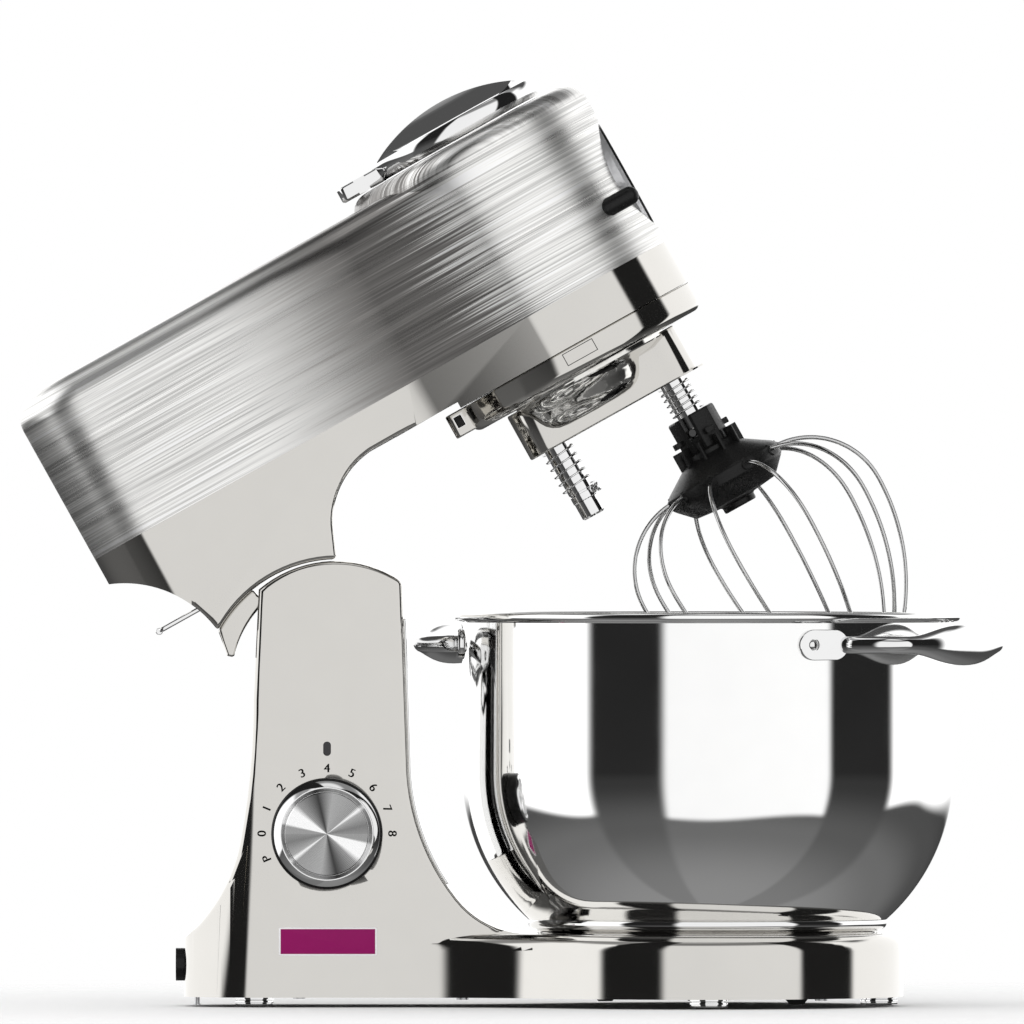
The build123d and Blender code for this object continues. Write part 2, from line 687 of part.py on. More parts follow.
def spindle_parts(name, sign, pin_turn, spring_length):
    """One output spindle, cut in one with its planet pinion, and its cross pin and spring."""
    tip = BAR_BOTTOM - SPINDLE_DROP
    pin_w = BAR_BOTTOM - CROSS_PIN_DROP
    pin = Rot(0, 0, pin_turn) * long_rod(CROSS_PIN_R, 0, 10, 0, pin_w)
    shaft = disc(SPINDLE_R, pin_w - CROSS_PIN_R - 0.35, 75.2) + disc(TIP_R, tip, pin_w)
    shaft += disc(5, 75.2, 85.3) + gear(PLANET_TEETH, 75.2, 81.6)
    place = Pos(AXIS_U + sign * SPINDLE_OFFSET, 0, 0)
    save_head(f"spindle_{name}", place * (shaft - pin))
    save_head(f"cross_pin_{name}", place * pin)
    coil = Helix(spring_length / 5.5, spring_length, 7.9)
    wire = sweep(Plane(coil @ 0, z_dir=coil % 0) * Circle(0.5), path=coil, is_frenet=True)
    save_head(f"spring_{name}", place * Pos(0, 0, BAR_BOTTOM - 0.8 - spring_length) * wire)


def planet_yoke():
    """Cast yoke: straight bar below, dome above, bored for the shaft and both spindles."""
    bar = raised(SlotOverall(2 * BAR_HALF, 2 * BAR_HALF_WIDTH), BAR_BOTTOM, 60)
    lip = raised(SlotOverall(2 * BAR_HALF + 8, 2 * BAR_HALF_WIDTH), BAR_BOTTOM, BAR_BOTTOM + 0.8)
    dome = revolve(Plane.XZ * face_of([
        Line((0, 52), (20, 52)),
        ThreePointArc((20, 52), (34, 57), (DOME_R, 71.5)),
        Line((DOME_R, 71.5), (DOME_R, YOKE_TOP)),
        Line((DOME_R, YOKE_TOP), (0, YOKE_TOP)),
        Line((0, YOKE_TOP), (0, 52)),
    ]), Axis.Z)
    post = raised(SlotOverall(2 * BAR_HALF - 10, 2 * BAR_HALF_WIDTH), 60, YOKE_TOP)
    post &= disc(DOME_R, 50, 80)
    yoke = bar + dome + post + (lip & block((0, 60), (-20, 20), (40, 60)))
    yoke -= disc(6, 60, YOKE_TOP + 1)
    for sign in (-1, 1):
        yoke -= disc(SPINDLE_R + RUNNING, 40, 80, sign * SPINDLE_OFFSET)
    return Pos(AXIS_U, 0, 0) * yoke


def carrier_plate():
    """Upper plate of the planet carrier, on the main shaft."""
    plate = disc(43, 82.3, 85.3) - disc(6, 80, 90)
    for sign in (-1, 1):
        plate -= disc(5 + RUNNING, 80, 90, sign * SPINDLE_OFFSET)
    return Pos(AXIS_U, 0, 0) * plate


def drive_parts():
    """Planet carrier, spindles and the two reduction stages."""
    save_head("planet_yoke", planet_yoke())
    save_head("carrier_plate", carrier_plate())
    axis = Pos(AXIS_U, 0, 0)
    save_head("main_shaft", axis * (disc(MAIN_SHAFT_R, 60, 104) + gear(WHEEL_TEETH, *SLOW_GEARS, 5)))
    save_head("ring_gear", ring_gear())
    spindle_parts("front", 1, -110, HUB_TOP_DROP - 1.6)
    spindle_parts("rear", -1, -20, CROSS_PIN_DROP - CROSS_PIN_R - 1.6)
    lay = Pos(LAYSHAFT_U, 0, 0)
    pinion = gear(PINION_TEETH, *SLOW_GEARS)
    wheel = gear(WHEEL_TEETH, *FAST_GEARS, 5)
    shaft = disc(SHAFT_R, LOW_PLATE[0], TOP_PLATE[1]) + disc(6, SLOW_GEARS[1], FAST_GEARS[0])
    save_head("layshaft", lay * (shaft + pinion + wheel))
    save_head("fast_shaft", axis * (disc(SHAFT_R, 105, COUPLING[1]) + gear(PINION_TEETH, *FAST_GEARS)))
    save_head("big_pulley", axis * pulley(BIG_PULLEY_R))
    lobes = disc(6, *COUPLING)
    for k in range(6):
        lobes += Rot(0, 0, 60 * k) * block((4, 9), (-1.6, 1.6), COUPLING)
    save_head("blender_coupling", axis * (lobes - disc(SHAFT_R, 180, 200)))


def pulley(radius):
    """Flat belt pulley with two flanges, about the origin."""
    low, high = PULLEY
    body = disc(radius, low, high)
    body += disc(radius + 2.6, low, low + PULLEY_LIP) + disc(radius + 2.6, high - PULLEY_LIP, high)
    return body - disc(SHAFT_R, low - 7, high + 11)


def belt_loop(grow):
    """Plan area inside a belt round both pulleys."""
    span = AXIS_U - MOTOR_U
    small, big = SMALL_PULLEY_R + grow, BIG_PULLEY_R + grow
    slope = (small - big) / span
    rise = math.sqrt(1 - slope * slope)
    corners = [(MOTOR_U + small * slope, small * rise), (AXIS_U + big * slope, big * rise),
               (AXIS_U + big * slope, -big * rise), (MOTOR_U + small * slope, -small * rise)]
    ends = Pos(MOTOR_U, 0) * Circle(small) + Pos(AXIS_U, 0) * Circle(big)
    return ends + polygon(*corners)


def gearbox_frame():
    """Two bearing plates on posts, with a bridge for the fast shaft's top bearing."""
    low_plate = disc(60.5, *LOW_PLATE, AXIS_U)
    top_plate = disc(48, *TOP_PLATE, AXIS_U - 12)
    frame = low_plate + top_plate
    for u in (140, 200):
        for y in (-36, 36):
            frame += disc(4, LOW_PLATE[1], TOP_PLATE[0], u, y)
    for y in (-36, 36):
        frame += disc(4, TOP_PLATE[1], BRIDGE[0], AXIS_U, y)
    frame += block((AXIS_U - 10, AXIS_U + 10), (-40, 40), BRIDGE)
    frame -= disc(MAIN_BEARING_R, 85, 91, AXIS_U)
    frame -= disc(SMALL_BEARING_R, 85, 91, LAYSHAFT_U)
    frame -= disc(SMALL_BEARING_R, 116, 122, LAYSHAFT_U)
    frame -= disc(SMALL_BEARING_R, 116, 190, AXIS_U)
    return frame


def bearings():
    """Bearings of the main shaft, layshaft, fast shaft and motor, and the tilt hinge's bushes."""
    bore = SHAFT_R + RUNNING
    bush = cross_rod(BUSH_R, -3, 3, 0, 0) - cross_rod(PIN_R + RUNNING, -4, 4, 0, 0)
    return Compound([
        Pos(0, -ARM_Y, 0) * bush,
        Pos(0, ARM_Y, 0) * bush,
        tube(MAIN_BEARING_R, MAIN_SHAFT_R + RUNNING, *LOW_PLATE, AXIS_U),
        tube(SMALL_BEARING_R, bore, *LOW_PLATE, LAYSHAFT_U),
        tube(SMALL_BEARING_R, bore, *TOP_PLATE, LAYSHAFT_U),
        tube(SMALL_BEARING_R, bore, *TOP_PLATE, AXIS_U),
        tube(SMALL_BEARING_R, bore, *BRIDGE, AXIS_U),
        tube(SMALL_BEARING_R, bore, MOTOR_LOW, MOTOR_LOW + END_PLATE, MOTOR_U),
        tube(SMALL_BEARING_R, bore, MOTOR_HIGH - END_PLATE, MOTOR_HIGH, MOTOR_U),
    ])


def motor_parts():
    """Motor behind the neck, its cradle, fan, pulley and belt."""
    u = MOTOR_U
    frame = tube(MOTOR_R, MOTOR_INNER_R, MOTOR_LOW, MOTOR_HIGH, u)
    for low in (MOTOR_LOW, MOTOR_HIGH - END_PLATE):
        frame += tube(MOTOR_INNER_R, SMALL_BEARING_R, low, low + END_PLATE, u)
    for k in range(4):
        frame -= Pos(u, 0, 102) * Rot(0, 0, 45 + 90 * k) * Pos(35, 0, 0) * Box(6, 20, 8)
    cradle = block((-40, 70), (-41, 41), (91.8, MOTOR_LOW)) - disc(10, 90, 95, u)
    save_head("motor_frame", frame + cradle)
    stator = tube(MOTOR_INNER_R, ROTOR_R + 0.6, *CORE, u)
    save_head("motor_stator", stator)
    save_head("motor_rotor", disc(ROTOR_R, *CORE, u) + disc(SHAFT_R, MOTOR_LOW, 180, u))
    fan = disc(FAN_R, 97.5, 99, u)
    for k in range(8):
        fan += Pos(u, 0, 0) * Rot(0, 0, 45 * k) * block((8, FAN_R - 1), (-0.8, 0.8), (99, 104))
    save_head("motor_fan", fan - disc(SHAFT_R, 90, 110, u))
    save_head("motor_pulley", Pos(u, 0, 0) * pulley(SMALL_PULLEY_R))
    belt = raised(belt_loop(2.0) - belt_loop(0.1), 169.2, 176.8)
    save_head("drive_belt", belt)
    save_head("gearbox_frame", gearbox_frame())
    save_head("bearings", bearings())


# ---------------------------------------------------------------- whisk

def whisk_hub():
    """Whisk hub: bayonet collar, cone, rim and nub, in the spindle's own frame."""
    outline = [(0, -37), (12.5, -37), (12.5, -18), (0, -18)]
    collar = revolve(Plane.XZ * polygon(*outline), Axis.Z)
    skirt = revolve(Plane.XZ * polygon((0, -36), (14.5, -36), (14.5, -39.5), (29.4, -49),
                                       (31, -51), (30, -57), (22, -65), (8.6, -66),
                                       (8.6, -69.5), (0, -69.5)), Axis.Z)
    hub = collar + skirt
    hub -= disc(SPINDLE_R + 0.1, -40, -17)
    floor = -CROSS_PIN_DROP - CROSS_PIN_R - 0.3
    slot = block((5, 14), (-2.6, 2.6), (floor, -17))
    pocket = block((5, 14), (-2.6, 8), (floor, floor + 5.4))
    return hub - Rot(0, 0, -110) * (slot + pocket)


def whisk_loop(rise):
    """One wire loop of the whisk; its bottom lies higher by the rise."""
    waist = -WHISK_WAIST_DROP
    shoulder = 38.0
    start = WHISK_R - shoulder
    long_r = 106.1
    turn = -35.76
    knee = polar((WHISK_R - long_r, waist), long_r, turn)
    sink = (16.0 - rise) / (1 - math.sin(math.radians(-turn)))
    toe_centre = polar(knee, -sink, turn)
    toe = (toe_centre[0], toe_centre[1] - sink)
    half = [
        Line((19, waist + shoulder), (start, waist + shoulder)),
        arc((start, waist), shoulder, 90, 0),
        arc((WHISK_R - long_r, waist), long_r, 0, turn),
        arc(toe_centre, sink, turn, -90),
        Line(toe, (0, toe[1])),
    ]
    edges = [e for curve in half for e in curve.edges()]
    edges += [e for curve in half for e in mirror(curve, Plane.YZ).edges()]
    path = Plane.XZ * Wire(edges)
    section = Plane(path @ 0, z_dir=path % 0) * Circle(WIRE_R)
    return sweep(section, path=path)


def whisk_parts():
    """The whisk on the front spindle."""
    place = Pos(AXIS_U + SPINDLE_OFFSET, 0, BAR_BOTTOM)
    loops = [Rot(0, 0, WHISK_PHASE + 36 * k) * whisk_loop(2.4 * k) for k in range(5)]
    hub = whisk_hub()
    for loop in loops:
        hub -= loop
    save_head("whisk_hub", place * hub)
    save_head("whisk_wires", place * Compound([s for loop in loops for s in loop.solids()]))


os.makedirs("parts", exist_ok=True)
stand_parts()
control_parts()
knob_parts()
bowl_parts()
head_shell_parts()
drive_parts()
motor_parts()
whisk_parts()
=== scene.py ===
# %% [markdown]
# # A tilt-head stand mixer
# The real machine is a die-cast stand and head, a brushed steel cover, a spun steel bowl and a wire
# whisk. The engineering model already holds every part at its true place, so this lesson loads it
# as a fixed frame and then gives each visible part its final shape and finish. Everything is in
# metres; lengths are written in millimetres and multiplied by MM, because that is how a maker
# reads them.

# %% Load the frame
import json
import math
import bpy
from mathutils import Matrix, Vector


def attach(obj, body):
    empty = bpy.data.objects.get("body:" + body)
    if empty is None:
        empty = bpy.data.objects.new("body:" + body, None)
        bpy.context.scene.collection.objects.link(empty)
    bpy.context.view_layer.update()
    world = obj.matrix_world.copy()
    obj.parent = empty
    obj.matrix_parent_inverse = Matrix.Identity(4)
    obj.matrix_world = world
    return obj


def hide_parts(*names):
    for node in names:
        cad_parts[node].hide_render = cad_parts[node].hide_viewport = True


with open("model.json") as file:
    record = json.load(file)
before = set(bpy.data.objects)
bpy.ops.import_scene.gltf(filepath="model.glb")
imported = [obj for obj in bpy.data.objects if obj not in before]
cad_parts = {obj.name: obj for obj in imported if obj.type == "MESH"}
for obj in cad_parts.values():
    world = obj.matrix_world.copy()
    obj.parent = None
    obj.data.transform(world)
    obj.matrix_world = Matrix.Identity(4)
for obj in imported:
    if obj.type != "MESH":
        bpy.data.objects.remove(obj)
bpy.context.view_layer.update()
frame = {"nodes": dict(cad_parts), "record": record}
NODES = frame["nodes"]
MM = 0.001
WELD = 0.002 * MM

# %% [markdown]
# ## Where things are
# The head is stored tilted up about the hinge pin, so its parts are modelled level, with the hinge
# as their origin, and turned up at the end. A level place is written (u, y, w): u runs forward along
# the head and w up. Modelling level keeps every primitive square to the grid, which is far easier
# than modelling at 29.2 degrees.

# %% Places
TILT = math.radians(29.2)
PIVOT = Vector((-182, 0, 160)) * MM
HEAD = Matrix.Translation(PIVOT) @ Matrix.Rotation(-TILT, 4, "Y")
AXIS_U = 182.0
SPINDLE_OFFSET = 32.5
BAR_BOTTOM = 46.5
print("the planetary axis stands at", [round(v, 3) for v in HEAD @ Vector((AXIS_U * MM, 0, 0))])

# %% [markdown]
# ## Starting and finishing a piece
# An operator acts on whatever is selected, so each step starts by letting go of everything. A piece
# ends with its object at the origin and its place in its mesh, shaded smooth with the sharp edges
# kept, fixed to the body that it moves with.

# %% Start and finish a piece
def let_go():
    """Deselect everything."""
    if bpy.context.mode != "OBJECT":
        bpy.ops.object.mode_set(mode="OBJECT")
    bpy.ops.object.select_all(action="DESELECT")


def pick(piece):
    """Make one piece the only selected one."""
    let_go()
    piece.select_set(True)
    bpy.context.view_layer.objects.active = piece
    return piece


def edit(piece, kind="FACE", action="DESELECT"):
    """Open one piece in edit mode with nothing, or everything, selected."""
    pick(piece)
    bpy.ops.object.mode_set(mode="EDIT")
    bpy.ops.mesh.select_mode(type=kind)
    bpy.ops.mesh.select_all(action=action)


def choose(piece, kind, test):
    """Open one piece in edit mode with the vertices, edges or faces selected that pass a test."""
    edit(piece, kind)
    let_go()
    mesh = piece.data
    elements = {"VERT": mesh.vertices, "EDGE": mesh.edges, "FACE": mesh.polygons}[kind]
    for element in elements:
        element.select = test(element)
    pick(piece)
    bpy.ops.object.mode_set(mode="EDIT")


def change(piece, kind, test, operator, **settings):
    """Run one mesh operator on the parts that pass a test."""
    choose(piece, kind, test)
    operator(**settings)
    let_go()
    return piece


def up(height):
    """Upward move of an extrusion, in millimetres."""
    return {"value": (0, 0, height * MM)}


def modify(piece, kind, **settings):
    """Add a modifier with these settings and apply it."""
    pick(piece)
    modifier = piece.modifiers.new(kind.title(), kind)
    for name, value in settings.items():
        setattr(modifier, name, value)
    bpy.ops.object.modifier_apply(modifier=modifier.name)
    return piece


def place(piece, matrix):
    """Put a level piece at its place and keep that place in its mesh."""
    pick(piece)
    piece.matrix_world = matrix @ piece.matrix_world
    bpy.ops.object.transform_apply(location=True, rotation=True, scale=True)
    return piece


def outward(piece):
    """Merge doubles and point every face outwards."""
    edit(piece, action="SELECT")
    bpy.ops.mesh.remove_doubles(threshold=WELD)
    bpy.ops.mesh.normals_make_consistent(inside=False)
    let_go()
    return piece


def soften(piece, width, segments=3, angle=32.0, clamp=True):
    """Round every edge sharper than the angle, as polishing and moulding do."""
    return modify(piece, "BEVEL", width=width * MM, segments=segments, limit_method="ANGLE",
                  angle_limit=math.radians(angle), miter_outer="MITER_ARC",
                  use_clamp_overlap=clamp)


def corners(piece, edge):
    """The two ends of an edge in millimetres."""
    return [piece.data.vertices[index].co / MM for index in edge.vertices]


def sharp_edges(piece, angle):
    """Numbers of the edges whose two faces turn by more than the angle."""
    sides = {}
    for face in piece.data.polygons:
        for key in face.edge_keys:
            sides.setdefault(key, []).append(face.normal)
    limit = math.cos(math.radians(angle))
    pairs = ((edge.index, sides.get(edge.key, ())) for edge in piece.data.edges)
    return {index for index, pair in pairs if len(pair) == 2 and pair[0].dot(pair[1]) < limit}


def roll_over(piece, width, test, segments=4, angle=40):
    """Bevel the sharp edges whose both ends pass a test of their place."""
    sharp = sharp_edges(piece, angle)
    return change(piece, "EDGE",
                  lambda e: e.index in sharp and all(test(c) for c in corners(piece, e)),
                  bpy.ops.mesh.bevel, offset=width * MM, segments=segments, affect="EDGES",
                  clamp_overlap=False, miter_outer="ARC")


def paint(piece, material):
    """Give a piece one material."""
    piece.data.materials.clear()
    piece.data.materials.append(material)
    return piece


def fitted(piece, material, name, body, stands_for=(), matrix=Matrix.Identity(4), angle=32.0):
    """Paint, place, smooth and name a finished piece, and fix it to its body."""
    if material:
        paint(piece, material)
    place(piece, matrix)
    bpy.ops.object.shade_smooth_by_angle(angle=math.radians(angle))
    piece.name = name
    piece.data.name = name
    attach(piece, body)
    if stands_for:
        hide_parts(*stands_for)
    print(name, len(piece.data.polygons), "faces")
    return piece


# %% [markdown]
# ## Turned parts
# Bowls, knobs, spindles and feet are turned or spun. Each is one ring of vertices that is extruded,
# moved and scaled along its outline, as a lathe tool would follow it. A curve with the Screw
# modifier would do too, but the extruded ring leaves clean quads and no seam to merge.

# %% Turned parts
def turned(outline, sides=96, centre=(0.0, 0.0), ends="capped"):
    """Follow an outline of (radius, height) with one extruded ring about a vertical axis."""
    let_go()
    x, y = centre[0] * MM, centre[1] * MM
    bpy.ops.mesh.primitive_circle_add(vertices=sides, radius=outline[0][0] * MM,
                                      fill_type="NOTHING", location=(x, y, outline[0][1] * MM))
    piece = bpy.context.object
    bpy.ops.object.transform_apply(location=True)
    edit(piece, "EDGE", "SELECT")
    for (radius, height), (wider, higher) in zip(outline, outline[1:]):
        bpy.ops.mesh.extrude_edges_move(TRANSFORM_OT_translate=up(higher - height))
        bpy.ops.transform.resize(value=(wider / radius, wider / radius, 1),
                                 center_override=(x, y, higher * MM))
    if ends == "capped":
        bpy.ops.mesh.edge_face_add()
        bpy.ops.mesh.select_all(action="DESELECT")
        bpy.ops.mesh.select_non_manifold(extend=False)
        bpy.ops.mesh.edge_face_add()
    if ends == "joined":
        bpy.ops.mesh.select_all(action="DESELECT")
        bpy.ops.mesh.select_non_manifold(extend=False)
        bpy.ops.mesh.bridge_edge_loops()
    return outward(piece)


def arc_points(centre, radius, start, end, steps):
    """Points on an arc of an outline, with its angles in degrees."""
    turns = [math.radians(start + (end - start) * k / steps) for k in range(steps + 1)]
    return [(centre[0] + radius * math.cos(t), centre[1] + radius * math.sin(t)) for t in turns]


# %% [markdown]
# ## Blocks, plates and rods
# Cast and moulded parts start as a cube, a plate with rounded corners or a cylinder. A plate is a
# plane whose corner vertices are bevelled before it is extruded, so its corners are true arcs.

# %% Blocks, plates and rods
def block(x, y, z):
    """Cube between low and high limits along each axis."""
    let_go()
    middle = [(a + b) / 2 * MM for a, b in (x, y, z)]
    size = [(b - a) * MM for a, b in (x, y, z)]
    bpy.ops.mesh.primitive_cube_add(size=1, location=middle, scale=size)
    bpy.ops.object.transform_apply(location=True, scale=True)
    return bpy.context.object


def plate(x, y, low, high, corner, segments=12):
    """Plane with rounded corners, extruded upwards."""
    let_go()
    bpy.ops.mesh.primitive_plane_add(size=1, location=(sum(x) / 2 * MM, sum(y) / 2 * MM, low * MM))
    piece = bpy.context.object
    piece.scale = ((x[1] - x[0]) * MM, (y[1] - y[0]) * MM, 1)
    bpy.ops.object.transform_apply(location=True, scale=True)
    edit(piece, "VERT", "SELECT")
    bpy.ops.mesh.bevel(offset=corner * MM, segments=segments, affect="VERTICES")
    bpy.ops.mesh.select_all(action="SELECT")
    bpy.ops.mesh.extrude_region_move(TRANSFORM_OT_translate=up(high - low))
    return outward(piece)


def rod(radius, length, matrix=Matrix.Identity(4), sides=48):
    """Cylinder that starts at the matrix's origin and runs along its Z."""
    let_go()
    bpy.ops.mesh.primitive_cylinder_add(vertices=sides, radius=radius * MM, depth=length * MM,
                                        location=(0, 0, length / 2 * MM))
    piece = bpy.context.object
    bpy.ops.object.transform_apply(location=True)
    return place(piece, matrix)


def at(x, y, z, turn=0.0, axis="Z"):
    """Matrix of a place in millimetres with a turn in degrees."""
    return Matrix.Translation(Vector((x, y, z)) * MM) @ Matrix.Rotation(math.radians(turn), 4, axis)


# %% Join, cut and copy
def join(pieces):
    """Join pieces into the first one."""
    let_go()
    for piece in pieces:
        piece.select_set(True)
    bpy.context.view_layer.objects.active = pieces[0]
    bpy.ops.object.join()
    return pieces[0]


def cut(piece, tool, operation="DIFFERENCE"):
    """Cut one piece with another, and throw the tool away."""
    modify(piece, "BOOLEAN", object=tool, operation=operation, solver="EXACT")
    bpy.data.objects.remove(tool)
    return piece


def copied(piece):
    """A copy with its own mesh."""
    twin = piece.copy()
    twin.data = piece.data.copy()
    bpy.context.scene.collection.objects.link(twin)
    return twin


def casting_copy(node):
    """A merged copy of a CAD casting, with its flat faces whole again, ready to be rounded."""
    twin = copied(NODES[node])
    twin.parent = None
    for key in list(twin.keys()):
        del twin[key]
    pick(twin)
    if twin.data.has_custom_normals:
        bpy.ops.mesh.customdata_custom_splitnormals_clear()
    edit(twin, action="SELECT")
    bpy.ops.mesh.remove_doubles(threshold=2 * WELD)
    bpy.ops.mesh.dissolve_limited(angle_limit=math.radians(0.3))
    let_go()
    return twin

# %% [markdown]
# ## Effects that several finishes share
# Three effects turn up again and again on this machine: brush lines in steel, soft cloudy traces of
# polishing and handling, and the fine grain of moulded plastic. Each is a node group that is built
# once. A group only puts out colours, masks and values; the shader stays in each material.

# %% Node helpers
def group_of(name, inputs, outputs):
    """A new shader node group with these sockets, and its two ends."""
    made = bpy.data.node_groups.new(name, "ShaderNodeTree")
    made.interface.new_socket("Vector", in_out="INPUT", socket_type="NodeSocketVector")
    for label, value in inputs.items():
        socket = made.interface.new_socket(label, in_out="INPUT", socket_type="NodeSocketFloat")
        socket.default_value = value
    for label in outputs:
        made.interface.new_socket(label, in_out="OUTPUT", socket_type="NodeSocketFloat")
    return made, made.nodes.new("NodeGroupInput"), made.nodes.new("NodeGroupOutput")


def feed(node, values):
    """Link or set a node's inputs; a node given as a value stands for its first output."""
    for socket, source in values.items():
        if isinstance(source, bpy.types.Node):
            source = source.outputs[0]
        if isinstance(source, bpy.types.NodeSocket):
            node.id_data.links.new(source, node.inputs[socket])
        else:
            node.inputs[socket].default_value = source
    return node


def put(tree, kind, values=None, **settings):
    """Add a node, set it up and feed its inputs."""
    node = tree.nodes.new("ShaderNode" + kind)
    for key, value in settings.items():
        setattr(node, key, value)
    return feed(node, values or {})


def calc(tree, operation, *values):
    """Math node on these values."""
    return put(tree, "Math", dict(enumerate(values)), operation=operation)


def mixed(tree, factor, first, second, blend="MIX"):
    """Mix of two colours."""
    return put(tree, "Mix", {0: factor, 6: first, 7: second}, data_type="RGBA",
               blend_type=blend).outputs[2]


def spread(tree, value, low, high, out_low=0.0, out_high=1.0, soft=True):
    """Stretch a value from one range to another."""
    return put(tree, "MapRange", {"Value": value, "From Min": low, "From Max": high,
                                  "To Min": out_low, "To Max": out_high},
               interpolation_type="SMOOTHSTEP" if soft else "LINEAR")


def ramp(tree, value, stops, low=0.0, high=1.0, ease="EASE"):
    """Grey ramp through (place, tone) stops between the low and the high place."""
    node = put(tree, "ValToRGB", {0: value})
    node.color_ramp.interpolation = ease
    while len(node.color_ramp.elements) < len(stops):
        node.color_ramp.elements.new(0.5)
    for element, (where, tone) in zip(node.color_ramp.elements, stops):
        element.position = (where - low) / (high - low)
        element.color = (tone, tone, tone, 1)
    return node


def scaled_by(tree, vector, size):
    """A vector divided by a size, so that a pattern has that size."""
    return put(tree, "VectorMath", {0: vector, 1: size}, operation="DIVIDE")


# %% Brush lines
def brush_lines():
    """Long thin streaks, fine and broad: level ones round the sides, and lengthwise ones on top."""
    group, start, end = group_of("Brush lines", {"Length": 0.06, "Width": 0.0006, "Top": 0.0},
                                 ["Fine", "Broad"])
    vector, long, width, top = (start.outputs[label] for label in ("Vector", "Length", "Width", "Top"))
    for label, wider, detail in (("Fine", 1.0, 1.2), ("Broad", 6.0, 0.0)):
        thick = calc(group, "MULTIPLY", width, wider)
        layers = []
        for across, upright in ((long, thick), (thick, long)):
            size = put(group, "CombineXYZ", {"X": long, "Y": across, "Z": upright})
            layers.append(put(group, "TexNoise", {"Vector": scaled_by(group, vector, size), "Scale": 1.0,
                                                  "Detail": detail, "Roughness": 0.6}))
        both = put(group, "Mix", {0: top, 2: layers[0], 3: layers[1]})
        feed(end, {label: spread(group, both, 0.3, 0.7, soft=False)})
    return group


# %% Polish clouds and plastic grain
def polish_clouds():
    """Cloudy roughness between two values, and a faint waviness of the polished surface."""
    group, start, end = group_of("Polish clouds", {"Size": 0.03, "Low": 0.05, "High": 0.1},
                                 ["Roughness", "Wave"])
    vector, size, low, high = (start.outputs[label] for label in ("Vector", "Size", "Low", "High"))
    scaled = scaled_by(group, vector, size)
    cloud = put(group, "TexNoise", {"Vector": scaled, "Scale": 1.0, "Detail": 4.0})
    wave = put(group, "TexNoise", {"Vector": scaled, "Scale": 2.0, "Detail": 1.0})
    feed(end, {"Roughness": spread(group, cloud, 0.35, 0.65, low, high, soft=False), "Wave": wave})
    return group


def plastic_grain():
    """Pebbled height of a moulded or rubber surface, and its matching roughness."""
    group, start, end = group_of("Plastic grain", {"Size": 0.0008}, ["Height", "Roughness"])
    scaled = scaled_by(group, start.outputs["Vector"], start.outputs["Size"])
    height = put(group, "TexVoronoi", {"Vector": scaled, "Scale": 1.0}).outputs["Distance"]
    feed(end, {"Height": height, "Roughness": spread(group, height, 0, 1, 0.3, 0.5)})
    return group


BRUSH = brush_lines()
CLOUDS = polish_clouds()
GRAIN = plastic_grain()
print("shared effects:", [g.name for g in bpy.data.node_groups])

# %% [markdown]
# ## The finishes
# Polished die-casting is a slightly warm metal with faint clouds. Chrome is brighter and sharper.
# The cover is brushed along its length, so streaks break up every reflection. The metals differ in
# base colour and in how rough they are, and each reads Object coordinates, so the pattern keeps its
# true size on every piece.

# %% A material to start from
def new_material(name, color, metallic=0.0, roughness=0.5):
    """Material with its Principled shader, its tree and its Object coordinates."""
    made = bpy.data.materials.new(name)
    made.use_nodes = True
    tree = made.node_tree
    shader = feed(tree.nodes["Principled BSDF"],
                  {"Base Color": (*color, 1), "Metallic": metallic, "Roughness": roughness})
    made.diffuse_color = (*color, 1)
    return made, shader, tree, put(tree, "TexCoord").outputs["Object"]


def use(tree, group, **values):
    """Place a shared effect in a material."""
    return feed(put(tree, "Group", node_tree=group), values)


def bump(tree, height, strength, distance):
    """Normal of a surface with this height."""
    return put(tree, "Bump", {"Strength": strength, "Distance": distance, "Height": height})


# %% Polished metals
def polished(name, color, low, high, size=0.03, wave=0.0, spots=0.03):
    """Polished metal: cloudy roughness, faint tone changes and, where cast, a slow waviness."""
    made, shader, tree, place_of = new_material(name, color, metallic=1.0, roughness=high)
    clouds = use(tree, CLOUDS, Vector=place_of, Size=size, Low=low, High=high)
    darker = tuple(c * (1 - spots) for c in color)
    feed(shader, {"Roughness": clouds.outputs["Roughness"],
                  "Base Color": mixed(tree, clouds.outputs["Wave"], (*color, 1), (*darker, 1))})
    if wave:
        feed(shader, {"Normal": bump(tree, clouds.outputs["Wave"], wave, 0.4 * MM)})
    return made


CASTING = polished("polished_casting", (0.66, 0.645, 0.615), 0.05, 0.075)
CHROME = polished("bright_chrome", (0.86, 0.86, 0.86), 0.02, 0.04)
STEEL = polished("polished_steel", (0.97, 0.97, 0.965), 0.045, 0.065)
WIRE = polished("whisk_wire", (0.62, 0.62, 0.62), 0.10, 0.16, size=0.004)
MACHINED = polished("machined_steel", (0.55, 0.55, 0.56), 0.22, 0.34, size=0.004, wave=0.1)
CAST_ALUMINIUM = polished("cast_aluminium", (0.6, 0.6, 0.61), 0.35, 0.5, size=0.003, wave=0.4)
BRASS = polished("turned_brass", (0.75, 0.58, 0.28), 0.2, 0.3, size=0.003, wave=0.1)
YOKE_METAL = polished("wavy_casting", (0.80, 0.79, 0.76), 0.05, 0.08, size=0.012, wave=0.5)


